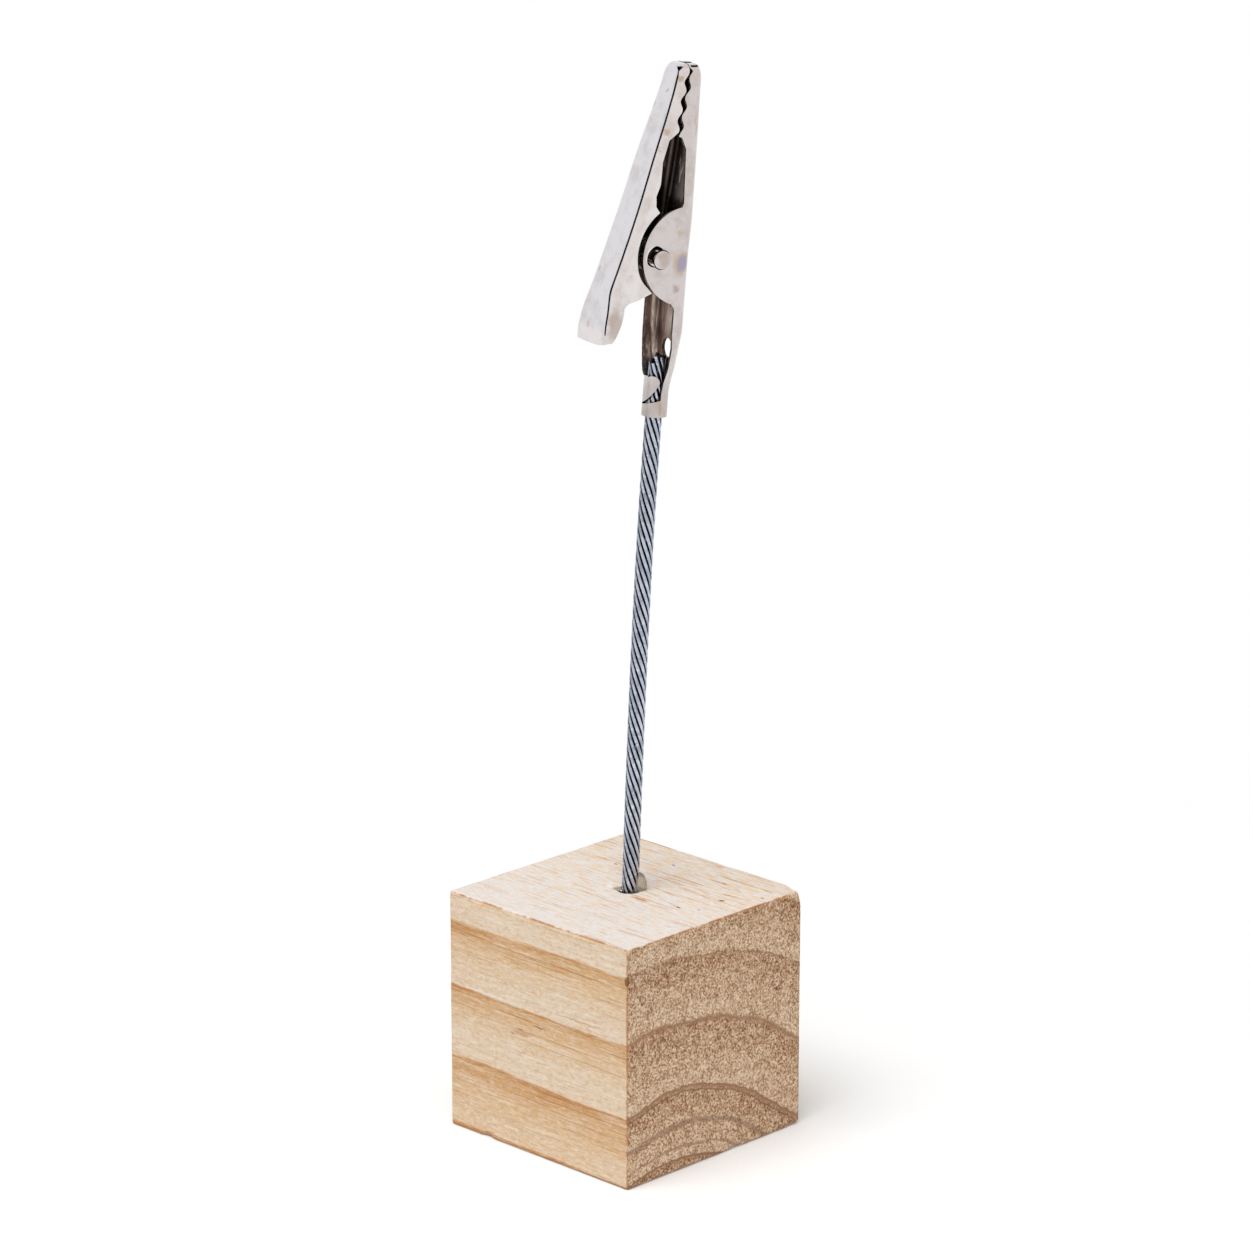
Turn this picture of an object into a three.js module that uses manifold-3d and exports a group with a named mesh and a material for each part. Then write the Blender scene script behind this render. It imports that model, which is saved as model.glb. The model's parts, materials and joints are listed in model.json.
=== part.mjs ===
// Wooden memo clip: a pine cube carries a bowed strand of twelve steel wires, and a sprung
// nickel-plated clip is crimped to the top of the strand. Millimetres, +Z up, origin at the
// centre of the cube's bottom face, the wood's grain along X.
import * as THREE from "three";
import { mergeVertices } from "three/addons/utils/BufferGeometryUtils.js";
import { RoundedBoxGeometry } from "three/addons/geometries/RoundedBoxGeometry.js";
import Module from "manifold-3d";

const wasm = await Module();
wasm.setup();

// Driving dimensions
const block = { edge: 25, rounding: 0.5 };
const hole = { x: 0.2, y: 0.28, depth: 12, room: 0.38 };
const strand = { wireRadius: 0.2, wireGap: 0.01, lay: 12.7, footAside: 0.12, footSlope: 0.036, footGap: 0.1 };
const glue = { gap: 0.03, strandGap: 0.06, recess: 0.7 };
const lump = { reach: 0.95, bearing: 45, width: 0.75, rise: 1.4, lift: 0.5 };

// The clip's own frame: x from the fixed jaw to the moving jaw, y along the pivot pin, z from tail to nose
const clip = { rise: 64.71, reach: 1.794, turn: -107.42, lean: 4.76 };
const sheet = 0.32;
const bend = 1.1;
const fixed = { earHalf: 3, tailBack: -3.32, noseBack: -3.88, noseHalf: 1.95, noseTop: 18.75, wallTop: -1.8 };
const moving = { earGap: 0.1, handleBack: 5.78, kneeBack: 5.52, handleHalf: 2.85, handleEnd: -8.6, noseTop: 18.75 };
const crimp = { gap: 0.03, foot: -16.05, bandTop: -15.1, tabFoot: -14.75, tabTop: -12.1, wireEnd: -9.9 };
const crimpFlare = { from: -13.8, to: -12.9 };
const teeth = { first: 12.14, pitch: 1.855, depth: 0.55, slip: 0.22, gap: 0.05 };
const ear = { front: 2, z: 0.25, radius: 4.89, top: 79, slot: 0.31 };
const pin = { radius: 0.92, stickOut: 0.45, chamfer: 0.15 };
const earHole = { play: 0.08, wearX: 0.7, wearZ: 0.3, wearRadius: 1.05 };
const innerEar = { radius: 1.7, play: 0.05 };
const tailHole = { z: -9.33, radius: 0.98 };
const spring = { wireRadius: 0.22, pinGap: 0.2, pitch: 0.92, coilStart: 162, sweep: 1196 };
const tailLeg = { gap: 0.1, end: -5, bend: -4.2, slant: 0.13 };
const handleLeg = { gap: 0.2, end: -5.4, bend: -4.6, slant: 0.33 };

const coreCount = 3;
const outerCount = 9;
const wireStepsPerTurn = 10;
const toothCount = 4;

const degrees = THREE.MathUtils.degToRad;

const pine = { color: 0xdcc4a0, roughness: 0.75, metalness: 0 };
const amber = { color: 0xb8a58c, roughness: 0.25, metalness: 0 };
const galvanised = { color: 0x9aa4b4, roughness: 0.35, metalness: 1 };
const nickel = { color: 0xd6d2ce, roughness: 0.22, metalness: 1 };
const springSteel = { color: 0x8d8a86, roughness: 0.3, metalness: 1 };

function named(name, geometry, look) {
  const mesh = new THREE.Mesh(geometry, new THREE.MeshStandardMaterial(look));
  mesh.name = name;
  return mesh;
}

// Booleans on three.js geometry

function solid(geometry) {
  const bare = geometry.clone();
  bare.deleteAttribute("normal");
  bare.deleteAttribute("uv");
  const merged = mergeVertices(bare, 1e-4);
  const mesh = new wasm.Mesh({
    numProp: 3,
    vertProperties: new Float32Array(merged.attributes.position.array),
    triVerts: new Uint32Array(merged.index.array),
  });
  return new wasm.Manifold(mesh);
}

function geometryOf(manifold) {
  const mesh = manifold.getMesh();
  const geometry = new THREE.BufferGeometry();
  geometry.setAttribute("position", new THREE.BufferAttribute(mesh.vertProperties, 3));
  geometry.setIndex(new THREE.BufferAttribute(mesh.triVerts, 1));
  geometry.computeVertexNormals();
  return geometry;
}

// Sweeps and lofts

// A path through given points, stepped exactly at those points
class PointPath extends THREE.Curve {
  constructor(points) {
    super();
    this.points = points;
  }
  getPoint(t, target = new THREE.Vector3()) {
    const place = t * (this.points.length - 1);
    const i = Math.min(Math.floor(place), this.points.length - 2);
    return target.copy(this.points[i]).lerp(this.points[i + 1], place - i);
  }
  getUtoTmapping(u) {
    return u;
  }
}

function tube(points, radius, sides) {
  const outline = [];
  for (let i = 0; i < sides; i++) {
    const a = (2 * Math.PI * i) / sides;
    outline.push(new THREE.Vector2(radius * Math.cos(a), radius * Math.sin(a)));
  }
  return new THREE.ExtrudeGeometry(new THREE.Shape(outline), {
    steps: points.length - 1,
    extrudePath: new PointPath(points),
    bevelEnabled: false,
  });
}

// Joins rings of equal length, each anticlockwise as seen from the last ring's side; faces cap both ends.
function loft(rings, faces) {
  const n = rings[0].length;
  const last = (rings.length - 1) * n;
  const index = [];
  for (let k = 0; k < rings.length - 1; k++) {
    for (let i = 0; i < n; i++) {
      const a = k * n + i;
      const b = k * n + ((i + 1) % n);
      index.push(a, b, b + n, a, b + n, a + n);
    }
  }
  for (const [a, b, c] of faces) index.push(c, b, a, last + a, last + b, last + c);
  const geometry = new THREE.BufferGeometry().setFromPoints(rings.flat());
  geometry.setIndex(index);
  return solid(geometry);
}

// A flat outline in x and z, thickened along y
function plate(shape, yFrom, yTo) {
  const depth = yTo - yFrom;
  const geometry = new THREE.ExtrudeGeometry(shape, { depth, bevelEnabled: false, curveSegments: 16 });
  geometry.rotateX(Math.PI / 2);
  geometry.translate(0, yTo, 0);
  return solid(geometry);
}

// Strand: nine wires laid left-handed round three

const strandSlant = (ring) => Math.atan((2 * Math.PI * ring) / strand.lay);

// Radius of a ring of wires that clear each other, also midway along their straight steps
function ringOf(count) {
  const straight = (strand.wireRadius + strand.wireGap / 2) / Math.sin(Math.PI / count);
  const stepped = straight / Math.cos(Math.PI / wireStepsPerTurn);
  let ring = stepped;
  for (let i = 0; i < 8; i++) ring = stepped / Math.cos(strandSlant(ring));
  return ring;
}

const coreRing = ringOf(coreCount);
const outerRing = ringOf(outerCount);
const strandRadius = outerRing + strand.wireRadius;
const holeRadius = strandRadius + hole.room;
const holeBottom = block.edge - hole.depth;

// Clip frame in the world: the pivot stands off the strand's foot in the plane in which the strand bows

const bowTurn = degrees(clip.turn + 180);
const bowWay = new THREE.Vector3(Math.cos(bowTurn), Math.sin(bowTurn), 0);
const foot = new THREE.Vector3(hole.x, hole.y + strand.footAside, block.edge);
const clipGroup = new THREE.Group();
clipGroup.position.copy(foot).addScaledVector(bowWay, clip.reach);
clipGroup.position.z += clip.rise;
clipGroup.rotation.set(0, -degrees(clip.lean), degrees(clip.turn), "ZYX");
clipGroup.updateMatrixWorld(true);

// Strand axis: upright at the hole's bottom, bowed above it, and straight through the crimp

const crimpBore = strandRadius + crimp.gap;
const crimpRadius = crimpBore + sheet;
const seatX = fixed.tailBack + crimpRadius;
const crimpFoot = clipGroup.localToWorld(new THREE.Vector3(seatX, 0, crimp.foot));
const crimpSlope = Math.tan(degrees(clip.lean));
const bowReach = Math.hypot(crimpFoot.x - foot.x, crimpFoot.y - foot.y);
const strandBottom = holeBottom + strand.footGap;
const strandTop = clipGroup.localToWorld(new THREE.Vector3(seatX, 0, crimp.wireEnd)).z;

function strandAxis(z) {
  const rise = z - foot.z;
  const span = crimpFoot.z - foot.z;
  let aside;
  if (rise <= 0) {
    aside = strand.footSlope * (rise + (rise * rise) / (2 * hole.depth));
  } else if (rise < span) {
    const t = rise / span;
    const start = (t * t * t - 2 * t * t + t) * span * strand.footSlope;
    const end = (t * t * t - t * t) * span * crimpSlope;
    aside = start + (3 * t * t - 2 * t * t * t) * bowReach + end;
  } else {
    aside = bowReach + (rise - span) * crimpSlope;
  }
  return new THREE.Vector3(foot.x, foot.y, z).addScaledVector(bowWay, aside);
}

// One wire of a ring; its cut end stands a little below the longest wire's.
function wire(ring, bearing, sides, endDrop) {
  const height = strandTop - endDrop - strandBottom;
  const steps = Math.round((height / strand.lay) * wireStepsPerTurn);
  const points = [];
  for (let i = 0; i <= steps; i++) {
    const z = strandBottom + (height * i) / steps;
    const a = bearing - (2 * Math.PI * (z - strandBottom)) / strand.lay;
    const point = strandAxis(z);
    point.x += ring * Math.cos(a);
    point.y += ring * Math.sin(a);
    points.push(point);
  }
  return tube(points, strand.wireRadius, sides);
}

function strandWires() {
  const group = new THREE.Group();
  for (let i = 0; i < coreCount; i++) {
    const bearing = (2 * Math.PI * i) / coreCount;
    group.add(named(`core_wire_${i + 1}`, wire(coreRing, bearing, 5, strand.wireRadius * i), galvanised));
  }
  for (let i = 0; i < outerCount; i++) {
    const bearing = (2 * Math.PI * (i + 0.5)) / outerCount;
    const endDrop = (strand.wireRadius * ((i * 4) % outerCount)) / 4;
    group.add(named(`outer_wire_${i + 1}`, wire(outerRing, bearing, 6, endDrop), galvanised));
  }
  return group;
}

// Wood block with its blind hole

function holeCore(radius, bottom, top) {
  const core = new THREE.CylinderGeometry(radius, radius, top - bottom, 24);
  core.rotateX(Math.PI / 2);
  core.translate(hole.x, hole.y, (top + bottom) / 2);
  return solid(core);
}

function pineBlock() {
  const cube = new RoundedBoxGeometry(block.edge, block.edge, block.edge, 2, block.rounding);
  cube.translate(0, 0, block.edge / 2);
  const cut = solid(cube).subtract(holeCore(holeRadius, holeBottom, block.edge + 1));
  return named("pine_block", geometryOf(cut), pine);
}

// Glue: fills the hole round the strand and stands as a lump against its right side

function gluePlug() {
  const bottom = holeBottom + glue.gap;
  const lumpTop = block.edge + lump.lift + lump.rise;
  const axis = [];
  for (let z = bottom - 1; z < lumpTop + 1; z += 1) axis.push(strandAxis(z));
  const bore = solid(tube(axis, strandRadius + glue.strandGap, 16));
  const ball = new THREE.SphereGeometry(1, 14, 10);
  ball.scale(lump.width, lump.width, lump.rise);
  const bearing = degrees(lump.bearing);
  ball.translate(foot.x + lump.reach * Math.cos(bearing), foot.y + lump.reach * Math.sin(bearing), 0);
  ball.translate(0, 0, block.edge + lump.lift);
  const woodDepth = 2 * lump.rise;
  const around = new THREE.BoxGeometry(block.edge, block.edge, woodDepth);
  around.translate(0, 0, block.edge + glue.gap - woodDepth / 2);
  const plugRadius = holeRadius - glue.gap;
  const wood = solid(around).subtract(holeCore(plugRadius, bottom, lumpTop));
  const fill = holeCore(plugRadius, bottom, block.edge - glue.recess);
  return named("glue_plug", geometryOf(fill.add(solid(ball).subtract(wood)).subtract(bore)), amber);
}

// Pressed channel: a U section whose back follows stations from tail to nose

// way is +1 for a channel that opens towards +x and -1 for one that opens towards -x.
function channelRing({ z, back, half, round }, way, mouth) {
  const arcSteps = 4;
  const points = [[mouth, half]];
  for (let i = 0; i <= arcSteps; i++) {
    const a = (Math.PI / 2) * (i / arcSteps);
    points.push([back + way * round * (1 - Math.sin(a)), half - round * (1 - Math.cos(a))]);
  }
  const mirrored = points.map(([x, y]) => [x, -y]).reverse();
  const ring = [...points, ...mirrored].map(([x, y]) => new THREE.Vector3(x, y, z));
  return way > 0 ? ring : ring.reverse();
}

function channelSolid(stations, way, mouth) {
  const rings = stations.map((station) => channelRing(station, way, mouth));
  const flat = rings[0].map((point) => new THREE.Vector2(point.x, point.y));
  return loft(rings, THREE.ShapeUtils.triangulateShape(flat, []));
}

// The inner face lies one sheet inside, square to the back's slope; the tail end is open and the nose shut.
function channel(stations, way) {
  const mouth = 8 * way;
  const inside = stations.map(({ z, back, half, round }, i) => {
    const before = stations[Math.max(i - 1, 0)];
    const after = stations[Math.min(i + 1, stations.length - 1)];
    const slope = new THREE.Vector2(after.back - before.back, after.z - before.z).normalize();
    const inner = { half: half - sheet, round: round - sheet };
    return { z: z - way * sheet * slope.x, back: back + way * sheet * slope.y, ...inner };
  });
  inside[0].z -= sheet + 1;
  return channelSolid(stations, way, mouth).subtract(channelSolid(inside, way, mouth + way));
}

// Where the two rows of teeth meet
function partingX(z) {
  const rise = z - teeth.first;
  return -1.29 - 0.105 * rise - 0.0095 * rise * rise;
}

const lastTooth = teeth.first + teeth.pitch * (toothCount - 1);

// A row of teeth from the window up to the nose, on the moving side (+1) or the fixed side (-1). The rows
// have slipped past each other along the jaws, so that the flanks keep the gap and the tips interlock.
function toothRow(side) {
  const flank = teeth.depth / (teeth.pitch / 2);
  const tipAside = teeth.gap / 2 - flank * teeth.slip;
  const row = [];
  for (let k = 0; k < toothCount; k++) {
    const tip = teeth.first + side * teeth.slip + teeth.pitch * k;
    row.push([partingX(tip) + side * tipAside, tip]);
    const valley = tip + teeth.pitch / 2;
    if (k < toothCount - 1) row.push([partingX(valley) + side * (tipAside + teeth.depth), valley]);
  }
  return row;
}

function drawLines(shape, points) {
  for (const [x, z] of points) shape.lineTo(x, z);
}

function pinHole(x, z, radius) {
  const core = new THREE.CylinderGeometry(radius, radius, 4 * fixed.earHalf, 24);
  core.translate(x, 0, z);
  return solid(core);
}

// Fixed jaw: toothed channel, round ears for the pin, low tail walls and the crimp round the strand

function fixedStations() {
  const { earHalf, tailBack, noseBack, noseHalf, noseTop } = fixed;
  return [
    { z: crimp.foot, back: tailBack, half: crimpRadius, round: crimpRadius - 0.15 },
    { z: crimpFlare.from, back: tailBack, half: crimpRadius, round: crimpRadius - 0.15 },
    { z: crimpFlare.to, back: tailBack, half: crimpRadius + 0.18, round: bend },
    { z: -11, back: tailBack, half: earHalf - 0.95, round: bend },
    { z: -9.2, back: tailBack, half: earHalf - 0.5, round: bend },
    { z: -7, back: tailBack, half: earHalf, round: bend },
    { z: 0, back: tailBack, half: earHalf, round: bend },
    { z: 3, back: tailBack - 0.11, half: earHalf, round: bend },
    { z: 7, back: tailBack - 0.28, half: earHalf - 0.32, round: bend },
    { z: 11, back: noseBack + 0.13, half: noseHalf + 0.4, round: bend },
    { z: noseTop - 1.7, back: noseBack, half: noseHalf, round: bend },
    { z: noseTop - 0.75, back: noseBack + 0.13, half: noseHalf - 0.16, round: bend },
    { z: noseTop - 0.25, back: noseBack + 0.36, half: noseHalf - 0.45, round: bend },
    { z: noseTop, back: noseBack + 0.75, half: noseHalf - 0.95, round: bend - 0.15 },
  ];
}

// The ears are round; their front edge keeps its place before the pin whatever their radius is.
const earX = ear.front - ear.radius;
const earTop = degrees(ear.top);
const windowFoot = ear.z + ear.radius * Math.sin(earTop) + 0.45;

// The two tail walls differ: the far one rises to the upper tab, the near one dips before the lower band.
function fixedOutline(tailWall) {
  const tailEnd = crimp.foot - 1;
  const shape = new THREE.Shape();
  shape.moveTo(-6, tailEnd);
  shape.lineTo(seatX, tailEnd);
  drawLines(shape, tailWall);
  shape.lineTo(fixed.wallTop, -7.4);
  const earFrom = -Math.acos((fixed.wallTop - earX) / ear.radius);
  shape.absarc(earX, ear.z, ear.radius, earFrom, earTop, false);
  drawLines(shape, [[-2.1, windowFoot], [-2.12, 10.6], [-1.62, 11.6]]);
  drawLines(shape, toothRow(-1));
  drawLines(shape, [[-2.5, lastTooth + 0.35], [-2.4, fixed.noseTop + 1], [-6, fixed.noseTop + 1]]);
  return shape;
}

// A tab of the crimp, bent round the strand: rows give a bearing and the tab's lower and upper edge there.
function crimpTab(rows) {
  const rings = rows.map(([bearing, low, high]) => {
    const a = degrees(bearing);
    const at = (radius, z) => new THREE.Vector3(seatX + radius * Math.cos(a), radius * Math.sin(a), z);
    return [at(crimpBore, high), at(crimpRadius, high), at(crimpRadius, low), at(crimpBore, low)];
  });
  return loft(rings, [[0, 1, 2], [0, 2, 3]]);
}

// The upper tab comes off the far wall and narrows to a rounded tip at the front.
function upperTab() {
  const bearings = [-100, -76, -52, -28, -8, 12, 30, 46, 58, 66, 72, 77];
  return crimpTab(bearings.map((bearing) => {
    const share = Math.max(0, (bearing + 28) / 107);
    const low = crimp.tabFoot + 1.3 * share * share;
    const high = crimp.tabTop - 1.35 * (1 - Math.sqrt(1 - share * share));
    return [bearing, low, high];
  }));
}

// The lower band comes off the near wall and runs round to the far one, lower as it goes.
function lowerBand() {
  const rows = [];
  for (let bearing = -84; bearing <= 112; bearing += 14) {
    const share = (bearing + 84) / 196;
    const low = crimp.foot + 0.3 * Math.max(0, 1 - 4 * share);
    const high = crimp.bandTop + 0.45 * share + 0.45 * share * share;
    rows.push([bearing, low, high]);
  }
  return crimpTab(rows);
}

function fixedJaw() {
  const halfSpace = 2 * fixed.earHalf;
  const near = plate(fixedOutline([[seatX, -12.6], [-2.2, -11], [-2.15, -9]]), 0, halfSpace);
  const far = plate(fixedOutline([[seatX, crimpFlare.to], [-1.5, -12.3], [-1.42, -11.9], [-1.6, -9]]), -halfSpace, 0);
  const drain = new THREE.CylinderGeometry(tailHole.radius, tailHole.radius, 4 * sheet, 20);
  drain.rotateZ(Math.PI / 2);
  drain.translate(fixed.tailBack, 0, tailHole.z);
  const jaw = channel(fixedStations(), 1)
    .intersect(near.add(far))
    .subtract(pinHole(0, 0, pin.radius + earHole.play))
    .subtract(pinHole(earHole.wearX, earHole.wearZ, earHole.wearRadius))
    .subtract(solid(drain))
    .add(upperTab())
    .add(lowerBand());
  return named("fixed_jaw", geometryOf(jaw), nickel);
}

// Moving jaw: toothed channel with a thumb handle; its ears nest inside the fixed jaw's

function movingStations() {
  const { earGap, handleBack, kneeBack, handleHalf, handleEnd, noseTop } = moving;
  const earHalf = fixed.earHalf - sheet - earGap;
  const noseHalf = fixed.noseHalf + 0.08;
  return [
    { z: handleEnd, back: handleBack - 0.17, half: handleHalf, round: bend - 0.15 },
    { z: handleEnd + 1.1, back: handleBack, half: handleHalf, round: bend - 0.15 },
    { z: handleEnd + 2.2, back: handleBack - 0.04, half: handleHalf - 0.04, round: bend - 0.12 },
    { z: -5.3, back: kneeBack, half: handleHalf - 0.13, round: bend - 0.08 },
    { z: -4.3, back: 5.21, half: earHalf + 0.06, round: bend - 0.04 },
    { z: -2.9, back: 4.75, half: earHalf, round: bend },
    { z: 0, back: 3.83, half: earHalf, round: bend },
    { z: 4.8, back: 2.4, half: earHalf - 0.06, round: bend },
    { z: 9.9, back: 1.03, half: noseHalf + 0.36, round: bend },
    { z: noseTop - 3.85, back: -0.42, half: noseHalf + 0.11, round: bend },
    { z: noseTop - 1.3, back: -1.19, half: noseHalf, round: bend },
    { z: noseTop - 0.55, back: -1.51, half: noseHalf - 0.14, round: bend },
    { z: noseTop - 0.15, back: -1.84, half: noseHalf - 0.4, round: bend },
    { z: noseTop, back: -2.16, half: noseHalf - 0.75, round: bend },
  ];
}

function movingOutline() {
  const beyond = 2 * moving.handleBack;
  const shape = new THREE.Shape();
  shape.moveTo(beyond, moving.noseTop + 1);
  drawLines(shape, [[-2.4, moving.noseTop + 1], [-2.36, lastTooth + 0.6]]);
  drawLines(shape, toothRow(1).reverse());
  drawLines(shape, [[-0.27, 11.45], [0.31, 9.36], [0.41, 7.14], [0.8, 6.09], [0.73, 5.04]]);
  shape.absarc(earX, ear.z, ear.radius + ear.slot, degrees(53), degrees(-31), true);
  const slotEnd = degrees(-62);
  shape.lineTo(innerEar.radius * Math.cos(slotEnd), innerEar.radius * Math.sin(slotEnd));
  shape.absarc(0, 0, innerEar.radius, slotEnd, degrees(248), false);
  drawLines(shape, [[-0.15, -2.85], [0.5, -3.35], [2.22, -4.1]]);
  shape.quadraticCurveTo(3.4, -4.32, 3.5, -4.9);
  shape.bezierCurveTo(3.7, -6.6, 4.5, -7.6, 5.5, moving.handleEnd + 0.2);
  drawLines(shape, [[6.2, moving.handleEnd - 1], [beyond, moving.handleEnd - 1]]);
  return shape;
}

function movingJaw() {
  const halfSpace = 2 * fixed.earHalf;
  const jaw = channel(movingStations(), -1)
    .intersect(plate(movingOutline(), -halfSpace, halfSpace))
    .subtract(pinHole(0, 0, pin.radius + innerEar.play));
  return named("moving_jaw", geometryOf(jaw), nickel);
}

// Pivot pin, its ends chamfered outside the ears

function pivotPin() {
  const { radius, chamfer } = pin;
  const halfLength = fixed.earHalf + pin.stickOut;
  const profile = [
    new THREE.Vector2(0, -halfLength),
    new THREE.Vector2(radius - chamfer, -halfLength),
    new THREE.Vector2(radius, chamfer - halfLength),
    new THREE.Vector2(radius, halfLength - chamfer),
    new THREE.Vector2(radius - chamfer, halfLength),
    new THREE.Vector2(0, halfLength),
  ];
  return named("pivot_pin", new THREE.LatheGeometry(profile, 20), nickel);
}

// Torsion spring: open coils round the pin, one leg along the tail's back and one along the handle's

const coilRadius = pin.radius + spring.pinGap + spring.wireRadius;
const coilSteps = 40;

function springPoints() {
  const halfWidth = (spring.pitch * spring.sweep) / 360 / 2;
  const tailX = fixed.tailBack + sheet + tailLeg.gap + spring.wireRadius;
  const points = [];
  points.push(new THREE.Vector3(tailX, -halfWidth, tailLeg.end));
  points.push(new THREE.Vector3(tailX + tailLeg.slant, -halfWidth, tailLeg.bend));
  for (let i = 0; i <= coilSteps; i++) {
    const a = degrees(spring.coilStart - (spring.sweep * i) / coilSteps);
    const y = halfWidth * ((2 * i) / coilSteps - 1);
    points.push(new THREE.Vector3(coilRadius * Math.cos(a), y, coilRadius * Math.sin(a)));
  }
  const handleX = moving.kneeBack - sheet - handleLeg.gap - spring.wireRadius;
  points.push(new THREE.Vector3(handleX - handleLeg.slant, halfWidth, handleLeg.bend));
  points.push(new THREE.Vector3(handleX, halfWidth, handleLeg.end));
  return points;
}

// Least gap of the spring's wire to itself, measured between points at least half a turn apart along it
function leastSpringGap(points) {
  const apart = Math.round((180 * coilSteps) / spring.sweep);
  let least = Infinity;
  for (let i = 0; i < points.length; i++) {
    for (let j = i + apart; j < points.length; j++) {
      least = Math.min(least, points[i].distanceTo(points[j]) - 2 * spring.wireRadius);
    }
  }
  return least;
}

function torsionSpring() {
  const points = springPoints();
  console.log("least gap in the spring, mm:", leastSpringGap(points).toFixed(2));
  return named("torsion_spring", tube(points, spring.wireRadius, 6), springSteel);
}

// Assembly

const memoClip = new THREE.Group();
memoClip.add(pineBlock(), gluePlug(), strandWires(), clipGroup);
clipGroup.add(fixedJaw(), movingJaw(), pivotPin(), torsionSpring());

export default memoClip;
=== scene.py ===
import json
from math import asin, atan2, cos, degrees, hypot, pi, radians, sin, sqrt, tan

import bmesh
import bpy
from mathutils import Matrix, Vector, noise
from mathutils.geometry import delaunay_2d_cdt


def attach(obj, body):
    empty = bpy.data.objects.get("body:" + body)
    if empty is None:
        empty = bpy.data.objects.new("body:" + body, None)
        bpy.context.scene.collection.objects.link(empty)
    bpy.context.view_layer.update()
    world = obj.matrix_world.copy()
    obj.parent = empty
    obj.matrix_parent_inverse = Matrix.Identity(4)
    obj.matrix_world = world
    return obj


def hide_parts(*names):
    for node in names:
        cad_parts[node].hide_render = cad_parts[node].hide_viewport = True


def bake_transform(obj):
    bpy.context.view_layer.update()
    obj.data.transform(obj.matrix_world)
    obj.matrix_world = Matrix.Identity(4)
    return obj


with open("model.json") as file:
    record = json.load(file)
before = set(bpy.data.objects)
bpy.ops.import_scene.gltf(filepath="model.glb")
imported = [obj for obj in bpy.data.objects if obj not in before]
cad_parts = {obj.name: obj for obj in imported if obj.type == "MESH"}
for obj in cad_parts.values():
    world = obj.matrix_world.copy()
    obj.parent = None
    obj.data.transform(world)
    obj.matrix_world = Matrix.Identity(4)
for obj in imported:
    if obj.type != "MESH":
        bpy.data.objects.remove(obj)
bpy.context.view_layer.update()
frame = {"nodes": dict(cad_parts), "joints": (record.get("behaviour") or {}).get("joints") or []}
mm = 0.001  # lengths below are in millimetres
print("frame:", len(frame["nodes"]), "nodes")


# Camera at the photograph's angle

cameraView = dict(
    azimuth=44.581, elevation=16.672, distance=517.536, height=52.603, aside=-0.096,
    lens=151.54, sensor=36, clipStart=0.01, clipEnd=20,
)


def placeCamera():
    around = radians(cameraView["azimuth"])
    up = radians(cameraView["elevation"])
    back = Vector((sin(around) * cos(up), -cos(around) * cos(up), sin(up)))
    right = Vector((cos(around), sin(around), 0))
    target = Vector((0, 0, cameraView["height"])) + right * cameraView["aside"]
    lens = bpy.data.cameras.new("photoCamera")
    lens.lens = cameraView["lens"]
    lens.sensor_width = cameraView["sensor"]
    lens.clip_start = cameraView["clipStart"]
    lens.clip_end = cameraView["clipEnd"]
    camera = bpy.data.objects.new("photoCamera", lens)
    camera.location = (target + back * cameraView["distance"]) * mm
    camera.rotation_euler = (-back).to_track_quat("-Z", "Y").to_euler()
    bpy.context.scene.collection.objects.link(camera)
    bpy.context.scene.camera = camera


placeCamera()
bpy.context.scene.view_settings.view_transform = "Standard"


# Small helpers for node trees

def clamp(value):
    return max(0.0, min(1.0, value))


def tone(red, green, blue):  # a screen colour, made linear
    levels = [level / 255 for level in (red, green, blue)]
    return (*[v / 12.92 if v <= 0.04045 else ((v + 0.055) / 1.055) ** 2.4 for v in levels], 1.0)


def grey(level):
    return (level, level, level, 1.0)


def feedNode(tree, node, feed):
    for key, value in feed.items():
        if isinstance(value, bpy.types.NodeSocket):
            tree.links.new(value, node.inputs[key])
        else:
            node.inputs[key].default_value = value


def addNode(tree, kind, feed=None, **settings):
    node = tree.nodes.new(kind)
    for name, value in settings.items():
        setattr(node, name, value)
    feedNode(tree, node, feed or {})
    return node


def calc(tree, operation, first, second=0.0, third=0.0):
    return addNode(tree, "ShaderNodeMath", {0: first, 1: second, 2: third}, operation=operation).outputs[0]


def times(tree, first, second):
    return calc(tree, "MULTIPLY", first, second)


def linear(tree, value, factor, plus):
    return calc(tree, "MULTIPLY_ADD", value, factor, plus)


def offFrom(tree, value, middle):
    return calc(tree, "ABSOLUTE", calc(tree, "SUBTRACT", value, middle))


def vector(tree, operation, *feed):
    node = addNode(tree, "ShaderNodeVectorMath", dict(enumerate(feed)), operation=operation)
    return node.outputs["Value" if operation in ("LENGTH", "DOT_PRODUCT") else "Vector"]


def scaled(tree, value, scale):
    return addNode(tree, "ShaderNodeVectorMath", {0: value, "Scale": scale}, operation="SCALE").outputs[0]


def parts(tree, value):
    return addNode(tree, "ShaderNodeSeparateXYZ", {0: value}).outputs


def joined(tree, x, y):
    return addNode(tree, "ShaderNodeCombineXYZ", {0: x, 1: y}).outputs[0]


def mixTone(tree, share, under, over, mode="MIX"):
    feed = {0: share, 6: under, 7: over}
    return addNode(tree, "ShaderNodeMix", feed, data_type="RGBA", blend_type=mode).outputs[2]


def glaze(tree, mask, strength, under, over):
    return mixTone(tree, times(tree, mask, strength), under, over)


def fade(tree, value, low, high):
    feed = {0: value, 1: low, 2: high}
    return addNode(tree, "ShaderNodeMapRange", feed, interpolation_type="SMOOTHSTEP").outputs[0]


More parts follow.
